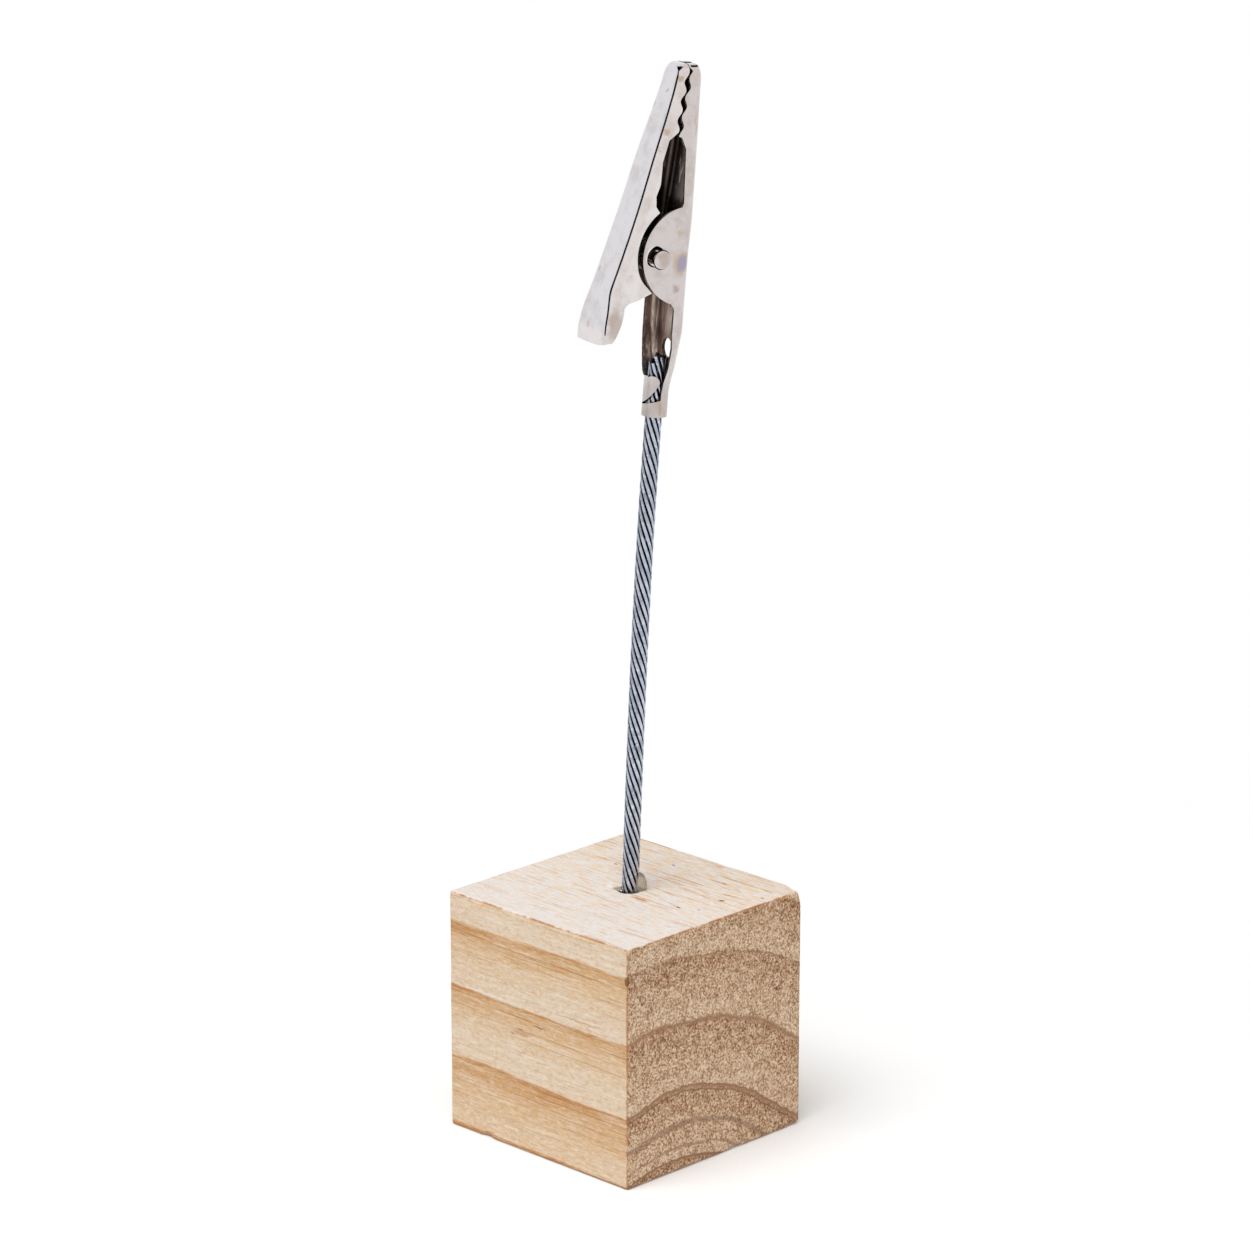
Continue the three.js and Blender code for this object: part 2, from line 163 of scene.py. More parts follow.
def stretch(tree, place, scale, shift=(0, 0, 0), turn=(0, 0, 0)):
    feed = {"Vector": place, "Scale": scale, "Location": shift, "Rotation": turn}
    return addNode(tree, "ShaderNodeMapping", feed).outputs[0]


def fleck(tree, place, scale, detail=2.0, rough=0.5):
    feed = {"Vector": place, "Scale": scale, "Detail": detail, "Roughness": rough}
    return addNode(tree, "ShaderNodeTexNoise", feed).outputs[0]


def ramp(tree, value, stops):
    node = addNode(tree, "ShaderNodeValToRGB", {0: value})
    elements = node.color_ramp.elements
    elements.remove(elements[-1])
    elements[0].position, elements[0].color = stops[0]
    for place, colour in stops[1:]:
        elements.new(place).color = colour
    return node.outputs[0]


def wobble(tree, place, scale, reach):  # place moved about by noise, so that marks have ragged outlines
    feed = {"Vector": place, "Scale": scale, "Detail": 3.0}
    jitter = addNode(tree, "ShaderNodeTexNoise", feed).outputs["Color"]
    centred = vector(tree, "SUBTRACT", jitter, (0.5, 0.5, 0.5))
    return vector(tree, "MULTIPLY_ADD", centred, (reach, reach, reach), place)


def markMask(tree, place, marks):  # marks are soft ellipsoids: middle, half sizes, strength
    total = 0.0
    for middle, sizes, strength in marks:
        share = vector(tree, "DIVIDE", vector(tree, "SUBTRACT", place, middle), sizes)
        mark = times(tree, fade(tree, vector(tree, "LENGTH", share), 1.0, 0.4), strength)
        total = calc(tree, "MAXIMUM", total, mark)
    return total


def newMaterial(name):
    material = bpy.data.materials.new(name)
    material.use_nodes = True
    tree = material.node_tree
    place = scaled(tree, addNode(tree, "ShaderNodeTexCoord").outputs["Object"], 1 / mm)
    return material, tree, tree.nodes["Principled BSDF"], place


def finishLook(tree, shader, feed, relief, depth, strength):
    bump = addNode(tree, "ShaderNodeBump", {"Height": relief, "Distance": depth * mm, "Strength": strength})
    feedNode(tree, shader, {**feed, "Normal": bump.outputs[0]})


# Small helpers for meshes

def newPiece(name, shape, *materials):
    mesh = bpy.data.meshes.new(name)
    shape.to_mesh(mesh)
    shape.free()
    for material in materials:
        mesh.materials.append(material)
    piece = bpy.data.objects.new(name, mesh)
    bpy.context.scene.collection.objects.link(piece)
    return piece


def addModifier(piece, kind, **settings):
    modifier = piece.modifiers.new(kind.lower(), kind)
    for name, value in settings.items():
        setattr(modifier, name, value)
    return modifier


def makePlain(piece):
    view = bpy.context.evaluated_depsgraph_get()
    mesh = bpy.data.meshes.new_from_object(piece.evaluated_get(view))
    old = piece.data
    piece.modifiers.clear()
    piece.data = mesh
    bpy.data.meshes.remove(old)
    mesh.name = piece.name


def shadeSmooth(piece, sharpFrom):
    piece.data.shade_smooth()
    piece.data.set_sharp_from_angle(angle=radians(sharpFrom))


def turnAngles(count):
    return [2 * pi * i / count for i in range(count)]


def ringFaces(shape, rings):  # faces from ring to ring; a ring of one point closes the end
    count = max(len(ring) for ring in rings)
    for first, second in zip(rings, rings[1:]):
        for i in range(count):
            j = (i + 1) % count
            corners = [first[i % len(first)], first[j % len(first)]]
            corners += [second[j % len(second)], second[i % len(second)]]
            shape.faces.new(list(dict.fromkeys(corners)))


def addRod(shape, radius, depth, sides):
    feed = dict(cap_ends=True, segments=sides, radius1=radius, radius2=radius, depth=depth)
    return bmesh.ops.create_cone(shape, **feed)["verts"]


def setForm(shape, verts, sizes, middle):
    bmesh.ops.scale(shape, vec=sizes, verts=verts)
    bmesh.ops.translate(shape, vec=middle, verts=verts)


def standFor(piece, body, slot, *nodes):
    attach(piece, body)
    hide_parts(*nodes)
    print("piece:", piece.name, len(piece.data.polygons), "faces")


# Helpers for wires: Geometry Nodes that sweep a round section along a line of points

def newTree(name, inputs):
    tree = bpy.data.node_groups.new(name, "GeometryNodeTree")
    tree.interface.new_socket("Geometry", in_out="INPUT", socket_type="NodeSocketGeometry")
    sockets = {}
    for label, kind in (*inputs, ("Wire Radius", "Float"), ("Sides", "Int"), ("Material", "Material")):
        socket = tree.interface.new_socket(label, in_out="INPUT", socket_type="NodeSocket" + kind)
        sockets[label] = socket.identifier
    tree.interface.new_socket("Geometry", in_out="OUTPUT", socket_type="NodeSocketGeometry")
    given = addNode(tree, "NodeGroupInput").outputs
    line = addNode(tree, "GeometryNodeMeshToCurve", {"Mesh": given["Geometry"]}).outputs[0]
    return tree, sockets, given, line


def keepValue(tree, geometry, name, value, kind="FLOAT"):
    feed = {"Geometry": geometry, "Name": name, "Value": value}
    return addNode(tree, "GeometryNodeStoreNamedAttribute", feed, data_type=kind, domain="POINT").outputs[0]


def sweepWire(tree, given, line):
    feed = {"Resolution": given["Sides"], "Radius": given["Wire Radius"]}
    section = addNode(tree, "GeometryNodeCurvePrimitiveCircle", feed).outputs[0]
    feed = {"Curve": line, "Profile Curve": section, "Fill Caps": True}
    return addNode(tree, "GeometryNodeCurveToMesh", feed).outputs[0]


def closeTree(tree, given, wires):
    whole = addNode(tree, "GeometryNodeRealizeInstances", {0: wires}).outputs[0]
    feed = {"Geometry": whole, "Material": given["Material"]}
    addNode(tree, "NodeGroupOutput", {0: addNode(tree, "GeometryNodeSetMaterial", feed).outputs[0]})


def sweptPiece(name, points, tree, sockets, values):
    line = bmesh.new()
    verts = [line.verts.new(point) for point in points]
    for ends in zip(verts, verts[1:]):
        line.edges.new(ends)
    piece = newPiece(name, line)
    sweep = addModifier(piece, "NODES", node_group=tree)
    for key, value in values.items():
        sweep[sockets[key]] = value
    makePlain(piece)
    shadeSmooth(piece, sharpFrom=50)
    return piece


# Frame of the clip: x towards the moving jaw, y along the pivot pin, z from tail to nose

hinge = frame["joints"][0]
clipLean = radians(4.76)
pinWay = Vector(hinge["axis"]).normalized()
levelWay = pinWay.cross(Vector((0, 0, 1)))
upWay = Vector((0, 0, 1)) * cos(clipLean) - levelWay * sin(clipLean)
jawWay = levelWay * cos(clipLean) + Vector((0, 0, 1)) * sin(clipLean)
pivot = Vector(hinge["pos_m"])
clipAxes = Matrix((jawWay, pinWay, upWay)).transposed().to_4x4()
clipMatrix = Matrix.Translation(pivot) @ clipAxes @ Matrix.Scale(mm, 4)


def clipPoint(x, y, z):
    return clipMatrix @ Vector((x, y, z)) / mm


# Pine: rings round a pith below the block, grain along X, speckled end grain on the X faces

pineLook = dict(
    half=12.5, pithY=-7.5, pithZ=-19.0, rings=(15.5, 20.7, 27.8, 34.6, 41.4, 46.9, 53.5), dip=0.75,
    thinRings=((24.2, 0.45, 0.55), (27.3, 0.12, 0.85), (21.9, 0.2, 0.5)),  # radius, reach, strength
    pale=tone(243, 233, 220), honey=tone(212, 164, 110), orange=tone(190, 128, 70), dash=tone(140, 88, 48),
    topPaintedLight=tone(234, 226, 220), topWarm=tone(234, 207, 174), topOrange=tone(200, 140, 78),
    endLight=tone(220, 182, 144), endDeep=tone(184, 136, 96), endLine=tone(146, 108, 84),
    endWhite=tone(250, 230, 206), endDark=tone(112, 64, 22),
    edgeTone=tone(176, 110, 48), pitTone=tone(112, 62, 22), smear=tone(247, 243, 238),
    roughness=0.72, shine=0.25, reliefDepth=0.14, reliefStrength=0.55,
)
woodNoise = dict(  # scale along X, Y and Z, shift, detail, roughness
    wander=((0.03, 0.11, 0.11), (0.0, 0.0, 0.0), 2.0, 0.5),
    ripple=((0.2, 1.3, 1.3), (0.0, 0.0, 0.0), 2.0, 0.5),
    streak=((0.22, 3.4, 3.4), (0.0, 0.0, 0.0), 4.0, 0.62),
    thread=((0.7, 10.0, 10.0), (0.0, 0.0, 0.0), 3.0, 0.6),
    mottle=((1.4, 3.0, 3.0), (0.0, 0.0, 0.0), 4.0, 0.65),
    flecks=((2.0, 5.0, 5.0), (5.0, 3.0, 8.0), 3.0, 0.7),
    thin=((0.1, 5.2, 5.2), (3.0, 0.4, 1.7), 2.0, 0.5),
    pore=((0.8, 8.0, 8.0), (1.0, 5.0, 2.0), 1.0, 0.5),
    dapple=((0.5, 2.6, 2.6), (7.0, 2.0, 0.0), 4.0, 0.65),
    broken=((0.2, 0.7, 0.7), (4.0, 1.0, 9.0), 2.0, 0.5),
)
ringCourses = dict(  # share of the ring inside its rim, or millimetres outside it where below 0; level
    late=((0.75, 0.03), (0.4, 0.3), (0.08, 0.8), (0.015, 1.0), (-0.03, 0.0)),
    calm=((0.08, 0.0), (0.04, 0.5), (0.015, 0.8), (-0.03, 0.8), (-0.09, 0.0)),
    above=((0.9, 1.0), (0.7, 0.2), (0.4, 0.0), (0.01, 0.0), (-0.2, 0.0)),
    line=((0.018, 0.0), (0.006, 1.0), (-0.02, 1.0), (-0.07, 0.0)),
)
longStops = (
    (0.0, tone(233, 212, 186)), (0.12, tone(230, 205, 174)), (0.4, tone(224, 190, 148)),
    (0.82, tone(212, 166, 114)), (1.0, tone(195, 138, 80)),
)
longLayers = (  # noise, where it fades in, strength, tone
    ("flecks", 0.48, 0.36, 0.45, "honey"), ("streak", 0.48, 0.3, 0.4, "pale"),
    ("thread", 0.5, 0.34, 0.4, "pale"),
)
woodPits = [  # middle, half sizes, strength
    ((-6.2, 4.8, 25.0), (0.34, 0.15, 0.4), 0.9), ((-1.8, 8.7, 25.0), (0.3, 0.14, 0.4), 0.8),
    ((7.3, 0.0, 25.0), (0.34, 0.16, 0.4), 0.9), ((9.3, 0.8, 25.0), (0.26, 0.13, 0.4), 0.75),
    ((11.4, 7.7, 25.0), (0.34, 0.15, 0.4), 0.8), ((8.9, 4.5, 25.0), (0.34, 0.3, 0.4), 0.85),
    ((12.5, 8.7, 15.4), (0.4, 0.34, 0.28), 0.9), ((12.5, -10.5, 18.9), (0.4, 0.24, 0.22), 0.8),
    ((12.5, 0.1, 17.0), (0.4, 0.22, 0.2), 0.8), ((12.5, 9.7, 18.4), (0.4, 0.28, 0.2), 0.8),
    ((0.25, -12.5, 13.74), (1.0, 0.4, 0.1), 0.75), ((-2.4, -12.5, 12.9), (0.5, 0.4, 0.1), 0.6),
    ((-3.6, -12.5, 12.2), (0.4, 0.4, 0.09), 0.6), ((12.4, -12.4, 21.8), (0.35, 0.35, 0.9), 0.7),
    ((-9.5, -12.5, 25.0), (0.7, 0.3, 0.3), 0.6), ((-4.3, -12.5, 25.0), (0.6, 0.3, 0.3), 0.6),
]
woodPits += [((1.8 + 0.83 * i, 1.2 - 0.19 * i, 25.0), (0.6, 0.06, 0.4), 0.5) for i in range(8)]
woodStains = [
    ((2.9, -1.0, 25.0), (1.5, 0.36, 0.5), 0.8), ((12.5, 9.1, 25.0), (0.4, 0.6, 0.4), 0.8),
    ((-2.2, -12.5, 12.5), (1.6, 0.5, 0.35), 0.5), ((12.5, -12.5, 12.0), (0.22, 0.22, 11.0), 0.55),
    ((0.0, -12.5, 25.0), (12.0, 0.18, 0.18), 0.55), ((6.0, -12.5, 15.9), (5.0, 0.4, 0.12), 0.5),
]
woodSmears = [((-1.8, -0.4, 25.0), (0.9, 0.3, 0.4), 0.8), ((-6.0, -12.5, 15.4), (5.0, 0.4, 0.2), 0.4)]


def ringRadius(tree, noises, y, z):  # distance from the pith, wandering, and dipping at the lower front
    fromY = calc(tree, "SUBTRACT", y, pineLook["pithY"])
    fromZ = calc(tree, "SUBTRACT", z, pineLook["pithZ"])
    squares = linear(tree, fromY, fromY, times(tree, fromZ, fromZ))
    radius = calc(tree, "ADD", calc(tree, "SQRT", squares), linear(tree, noises["wander"], 1.6, -0.8))
    radius = calc(tree, "ADD", radius, linear(tree, noises["ripple"], 0.5, -0.25))
    dip = times(tree, fade(tree, z, 14.0, 6.0), fade(tree, y, -3.0, -12.5))
    return linear(tree, dip, pineLook["dip"], radius)


def ringRamp(tree, radius, course):  # the same course of levels inside each ring, by distance from its rim
    rings = pineLook["rings"]
    first, last = rings[0], rings[-1]
    stops = [(0.0, grey(0.0))]
    for inner, outer in zip(rings, rings[1:]):
        for inward, level in ringCourses[course]:
            at = outer - inward * (outer - inner) if inward > 0 else outer - inward
            stops.append(((at - first) / (last - first), grey(level)))
    share = calc(tree, "DIVIDE", calc(tree, "SUBTRACT", radius, first), last - first)
    return ramp(tree, share, stops)


def longGrain(tree, noises, lines, z, late):  # sharp-topped bands, streaks, orange lines, dark dashes
    look = pineLook
    foot = linear(tree, fade(tree, z, 8.0, 5.5), 0.2, -0.25)
    shifted = calc(tree, "ADD", late, linear(tree, noises["streak"], 0.5, foot))
    long = ramp(tree, shifted, longStops)
    palest = linear(tree, late, -0.25, 0.38)
    long = glaze(tree, fade(tree, noises["flecks"], 0.5, 0.64), palest, long, look["pale"])
    for name, low, high, strength, colour in longLayers:
        long = glaze(tree, fade(tree, noises[name], low, high), strength, long, look[colour])
    inBand = linear(tree, late, 0.8, 0.15)
    long = glaze(tree, lines["thin"], inBand, long, look["orange"])
    long = glaze(tree, lines["rough"], times(tree, inBand, 0.55), long, look["orange"])
    return glaze(tree, lines["pore"], inBand, long, look["dash"])


def topGrain(tree, noises, lines, y):  # painted paler for the light falling from above, with broken orange lines stronger at the back
    look = pineLook
    backward = fade(tree, y, -14.0, 13.0)
    warm = fade(tree, linear(tree, backward, 0.08, noises["dapple"]), 0.48, 0.68)
    top = mixTone(tree, warm, look["topPaintedLight"], look["topWarm"])
    broken = fade(tree, noises["broken"], 0.46, 0.58)
    firm = times(tree, broken, linear(tree, backward, 0.6, 0.5))
    top = glaze(tree, lines["thin"], firm, top, look["topOrange"])
    top = glaze(tree, lines["rough"], times(tree, broken, 0.5), top, look["topOrange"])
    top = glaze(tree, lines["pore"], times(tree, broken, 0.6), top, look["dash"])
    return glaze(tree, fade(tree, noises["flecks"], 0.52, 0.66), 0.45, top, look["smear"])


def endGrain(tree, place, radius, late):  # bright and dark points, calm where a ring ends
    look = pineLook
    clump = linear(tree, fleck(tree, place, 0.9, 3.0), 0.24, -0.12)
    points = calc(tree, "ADD", fleck(tree, place, 5.0, 2.0, 0.6), clump)
    end = glaze(tree, late, 0.9, look["endLight"], look["endDeep"])
    firm = linear(tree, fade(tree, radius, 40.3, 38.5), 0.7, 0.3)  # the outermost ring ends softly
    calm = times(tree, ringRamp(tree, radius, "calm"), firm)
    lively = linear(tree, calm, -1.0, 1.0)
    bright = times(tree, fade(tree, points, 0.52, 0.62), lively)
    dark = times(tree, fade(tree, points, 0.47, 0.38), lively)
    end = glaze(tree, calm, 0.3, end, look["endLine"])
    end = glaze(tree, bright, linear(tree, late, -0.3, 0.9), end, look["endWhite"])
    end = glaze(tree, dark, linear(tree, late, 0.25, 0.68), end, look["endDark"])
    pinholes = times(tree, fade(tree, fleck(tree, place, 8.0, 2.0, 0.6), 0.6, 0.7), lively)
    end = glaze(tree, pinholes, 0.6, end, look["endDark"])
    contour = offFrom(tree, fleck(tree, place, 1.9, 2.0), 0.5)
    squiggle = times(tree, fade(tree, contour, 0.035, 0.012), ringRamp(tree, radius, "above"))
    end = glaze(tree, squiggle, 0.6, end, look["endWhite"])
    end = glaze(tree, ringRamp(tree, radius, "line"), firm, end, look["endLine"])
    for middle, reach, strength in look["thinRings"]:
        line = fade(tree, offFrom(tree, radius, middle), reach, reach / 3)
        end = glaze(tree, line, strength, end, look["endLine"])
    return end, points


def wornEdges(tree, place):  # the second largest offset from the block's middle says how near an edge is
    half = pineLook["half"]
    x, y, z = parts(tree, place)
    offX = calc(tree, "ABSOLUTE", x)
    offY = calc(tree, "ABSOLUTE", y)
    low = calc(tree, "MINIMUM", offX, offY)
    high = calc(tree, "MAXIMUM", offX, offY)
    second = calc(tree, "MAXIMUM", low, calc(tree, "MINIMUM", high, offFrom(tree, z, half)))
    patchy = fade(tree, fleck(tree, place, 0.6, 4.0, 0.7), 0.38, 0.56)
    return times(tree, fade(tree, second, half - 0.26, half - 0.08), patchy)


def pineMaterial():
    look = pineLook
    material, tree, shader, place = newMaterial("sawnPine")
    facing = parts(tree, addNode(tree, "ShaderNodeTexCoord").outputs["Normal"])
    endFace = fade(tree, calc(tree, "ABSOLUTE", facing[0]), 0.55, 0.8)
    topFace = fade(tree, facing[2], 0.55, 0.85)
    noises = {}
    for name, (scale, shift, detail, rough) in woodNoise.items():
        noises[name] = fleck(tree, stretch(tree, place, scale, shift), 1.0, detail, rough)
    lines = dict(
        thin=fade(tree, noises["thin"], 0.57, 0.66), rough=fade(tree, noises["thread"], 0.56, 0.72),
        pore=fade(tree, noises["pore"], 0.7, 0.78),
    )
    y, z = parts(tree, place)[1:]
    radius = ringRadius(tree, noises, y, z)
    late = ringRamp(tree, radius, "late")
    end, points = endGrain(tree, place, radius, late)
    # the top face gets its own colours, painted paler for the light from above
    body = mixTone(tree, topFace, longGrain(tree, noises, lines, z, late), topGrain(tree, noises, lines, y))
    body = mixTone(tree, endFace, body, end)
    shade = ramp(tree, noises["mottle"], ((0.3, grey(0.93)), (0.7, grey(1.06))))
    body = mixTone(tree, 1.0, body, shade, "MULTIPLY")
    body = glaze(tree, wornEdges(tree, place), 0.85, body, look["edgeTone"])
    ragged = wobble(tree, place, 1.8, 0.5)
    body = mixTone(tree, markMask(tree, wobble(tree, place, 1.8, 0.25), woodStains), body, look["orange"])
    body = mixTone(tree, markMask(tree, ragged, woodSmears), body, look["smear"])
    pits = markMask(tree, ragged, woodPits)
    body = mixTone(tree, pits, body, look["pitTone"])
    fibres = calc(tree, "ADD", noises["thread"], times(tree, lines["pore"], -1.0))
    relief = mixTone(tree, endFace, fibres, points)
    relief = calc(tree, "SUBTRACT", relief, times(tree, pits, 1.5))
    feed = {"Base Color": body, "Roughness": look["roughness"], "Specular IOR Level": look["shine"]}
    finishLook(tree, shader, feed, relief, look["reliefDepth"], look["reliefStrength"])
    return material


# Metals and glue

nickelLook = dict(
    moving=(tone(227, 222, 221), tone(214, 208, 206)), fixed=(tone(210, 203, 201), tone(197, 187, 183)),
    stain=tone(184, 164, 146), speck=tone(146, 124, 108), dullAndShadeTone=tone(186, 172, 165),
    # the two edge tones are painted shade along the sheared edges
    blue=tone(160, 158, 182), brown=tone(192, 166, 138), edge=tone(92, 72, 58), edgeDeepShade=tone(38, 30, 25),
    # the inside tones are painted shade and a painted highlight for the sheet's inner faces
    inside=tone(176, 156, 144), insideDeepShade=tone(96, 84, 78), insideHighlight=tone(236, 230, 226),
)
wireLook = dict(
    pale=tone(196, 203, 216), dullAndShadeMask=tone(150, 158, 176), bright=tone(236, 240, 246), rust=tone(128, 104, 84),
    creviceShade=tone(24, 25, 32), rowGap=7.3,
)
springLook = dict(scale=2.0, dark=tone(58, 55, 52), light=tone(104, 98, 92), rough=0.2, depth=0.02)
glueLook = dict(scale=1.6, dark=tone(214, 196, 168), light=tone(240, 234, 224), rough=0.1, depth=0.08)
# the first mark is painted shade on the handle's lower end; the second darkens the pin's end and the ear
# round it
handleShadeAndPinMarks = [  # place in the clip's frame, half sizes along X, Y and Z of the world, strength
    ((4.3, 2.85, -6.5), (1.3, 1.2, 2.3), 0.85), ((0.0, 3.5, 0.0), (0.45, 1.2, 1.2), 0.8),
]
crimpMarks = [((-2.2, 0.0, -15.0), (4.0, 4.0, 3.6), 1.0)]
brownMarks = [
    ((-2.22, 3.0, -0.3), (1.1, 1.25, 1.55), 0.85), ((-2.13, 1.25, -15.2), (0.6, 0.12, 1.1), 0.8),
    ((-1.8, 3.0, -2.9), (0.5, 0.5, 0.5), 0.6),
    ((-1.33, 1.7, 17.29), (0.9, 0.3, 0.4), 0.8), ((-0.95, 0.2, 15.95), (0.35, 0.9, 0.35), 0.7),
    ((-0.08, 2.2, 12.17), (0.9, 0.35, 0.45), 0.7), ((-0.6, -1.3, 14.5), (0.3, 0.9, 0.6), 0.65),
    ((0.57, 2.3, 10.83), (0.9, 0.3, 0.9), 0.5), ((-3.15, 2.2, 13.0), (0.9, 0.14, 1.7), 0.5),
    ((-1.8, 3.0, 2.5), (0.45, 0.4, 0.45), 0.45), ((-1.4, 3.0, 3.2), (0.2, 0.2, 0.3), 0.4),
]
blueMarks = [((-2.36, 3.0, -0.4), (0.85, 0.92, 1.1), 0.85), ((-1.8, 3.0, -2.9), (0.4, 0.34, 0.34), 0.6)]


def clipMask(tree, place, marks):
    return markMask(tree, place, [(clipPoint(*middle), *others) for middle, *others in marks])


def nickelMaterial(name, bright, cloudy):
    look = nickelLook
    material, tree, shader, place = newMaterial(name)
    cloud = fleck(tree, place, 0.6, 4.0, 0.6)
    colour = mixTone(tree, fade(tree, cloud, 0.42, 0.68), bright, cloudy)
    ragged = wobble(tree, place, 0.9, 1.2)
    crimped = clipMask(tree, ragged, crimpMarks)
    # dull crimped metal, plus the painted shade on the handle's end and the darker pin end
    dullAndShadeMask = calc(tree, "MAXIMUM", times(tree, crimped, 0.2), clipMask(tree, ragged, handleShadeAndPinMarks))
    colour = mixTone(tree, dullAndShadeMask, colour, look["dullAndShadeTone"])
    feed = {"Vector": stretch(tree, place, (0.6, 0.6, 0.42)), "Scale": 1.0}
    spots = addNode(tree, "ShaderNodeTexVoronoi", feed).outputs
    chance = addNode(tree, "ShaderNodeSeparateColor", {0: spots["Color"]}).outputs[0]
    dab = fade(tree, calc(tree, "ADD", spots["Distance"], times(tree, cloud, 0.3)), 0.4, 0.3)
    dabs = times(tree, dab, fade(tree, chance, 0.74, 0.78))
    speck = fade(tree, fleck(tree, place, 4.6, 1.0), 0.74, 0.8)
    contour = offFrom(tree, fleck(tree, place, 0.5, 2.0, 0.4), 0.5)
    hair = times(tree, fade(tree, contour, 0.008, 0.003), fade(tree, cloud, 0.5, 0.6))
    brushed = stretch(tree, place, (7.0, 7.0, 0.4), turn=(0.5, 0.35, 0.0))
    scratch = fade(tree, fleck(tree, brushed, 1.0, 2.0, 0.6), 0.62, 0.72)
    layers = ((dabs, 0.5, "stain"), (speck, 0.5, "speck"), (hair, 0.26, "stain"), (scratch, 0.3, "stain"))
    for mask, strength, tint in layers:
        colour = glaze(tree, mask, strength, colour, look[tint])
    close = wobble(tree, place, 1.4, 0.8)
    for marks, tint in ((brownMarks, "brown"), (blueMarks, "blue")):
        colour = mixTone(tree, clipMask(tree, close, marks), colour, look[tint])
    rough = linear(tree, fleck(tree, place, 1.3, 4.0, 0.6), 0.1, 0.06)
    feed = {"Base Color": colour, "Metallic": 1.0, "Roughness": linear(tree, crimped, 0.36, rough)}
    finishLook(tree, shader, feed, fleck(tree, place, 1.1, 3.0, 0.5), depth=0.016, strength=0.4)
    return material


def edgeShadeMaterial():  # the sheet's sheared edges, painted dark as the shade along them
    material, tree, shader, place = newMaterial("nickelEdgeShade")
    cloud = fleck(tree, place, 2.4, 3.0, 0.65)
    colour = mixTone(tree, fade(tree, cloud, 0.4, 0.62), nickelLook["edgeDeepShade"], nickelLook["edge"])
    feed = {"Base Color": colour, "Metallic": 1.0, "Roughness": linear(tree, cloud, 0.2, 0.25)}
    finishLook(tree, shader, feed, cloud, depth=0.03, strength=0.5)
    return material


def insideShadeMaterial():  # inner faces painted brownish dark as shade, darker still between the jaws, with painted highlight streaks in the tail
    look = nickelLook
    material, tree, shader, place = newMaterial("nickelInsideShade")
    cloud = fleck(tree, stretch(tree, place, (1.4, 1.4, 0.25)), 1.0, 4.0, 0.65)
    # painted shade: darker above the pivot, between the jaws
    jaw = fade(tree, parts(tree, place)[2], pivot.z / mm - 4.0, pivot.z / mm + 1.0)
    colour = mixTone(tree, jaw, look["inside"], look["insideDeepShade"])
    colour = glaze(tree, fade(tree, cloud, 0.42, 0.6), 0.6, colour, look["insideDeepShade"])
    # painted highlight streaks along the inner faces
    streak = fade(tree, fleck(tree, stretch(tree, place, (2.6, 2.6, 0.1)), 1.0, 3.0, 0.6), 0.58, 0.68)
    colour = glaze(tree, streak, 0.75, colour, look["insideHighlight"])
    feed = {"Base Color": colour, "Metallic": 1.0, "Roughness": linear(tree, cloud, 0.2, 0.2)}
    finishLook(tree, shader, feed, cloud, depth=0.03, strength=0.5)
    return material


def attribute(tree, name):
    return addNode(tree, "ShaderNodeAttribute", attribute_name=name).outputs["Fac"]


def wireMaterial():
    look = wireLook
    material, tree, shader, place = newMaterial("galvanisedWire")
    row = times(tree, attribute(tree, "wireNumber"), look["rowGap"])
    patch = fleck(tree, joined(tree, attribute(tree, "along"), row), 0.8, 3.0, 0.6)
    cloud = fleck(tree, place, 2.2, 3.0, 0.6)
    colour = mixTone(tree, fade(tree, patch, 0.35, 0.7), look["pale"], look["dullAndShadeMask"])
    colour = glaze(tree, fade(tree, cloud, 0.55, 0.7), 0.7, colour, look["bright"])
    rust = fade(tree, fleck(tree, place, 3.1, 2.0, 0.7), 0.69, 0.76)
    colour = glaze(tree, rust, 0.6, colour, look["rust"])
    # painted shade in the crevices between the wires, where the surface turns inward
    creviceShade = fade(tree, linear(tree, cloud, 0.3, attribute(tree, "outward")), 0.9, 0.55)
    colour = glaze(tree, creviceShade, 0.95, colour, look["creviceShade"])
    feed = {"Base Color": colour, "Metallic": 1.0, "Roughness": linear(tree, cloud, 0.25, 0.12)}
    finishLook(tree, shader, feed, fleck(tree, place, 5.0, 2.0, 0.6), depth=0.02, strength=0.4)
    return material


def cloudyMaterial(name, look, feed):
    material, tree, shader, place = newMaterial(name)
    cloud = fleck(tree, place, look["scale"], 3.0, 0.6)
    colour = mixTone(tree, cloud, look["dark"], look["light"])
    feed = {**feed, "Base Color": colour, "Roughness": linear(tree, cloud, 0.2, look["rough"])}
    finishLook(tree, shader, feed, cloud, look["depth"], strength=0.4)
    return material


pine = pineMaterial()
nickelFixed = nickelMaterial("nickelFixed", *nickelLook["fixed"])
nickelMoving = nickelMaterial("nickelMoving", *nickelLook["moving"])
nickelEdgeShade = edgeShadeMaterial()
nickelInsideShade = insideShadeMaterial()
galvanised = wireMaterial()
springSteel = cloudyMaterial("springWire", springLook, {"Metallic": 1.0})
driedGlue = cloudyMaterial("driedGlue", glueLook, {"Transmission Weight": 0.75, "IOR": 1.48})
print("materials done")


# Wood block: worn edges, a drilled hole and small chips

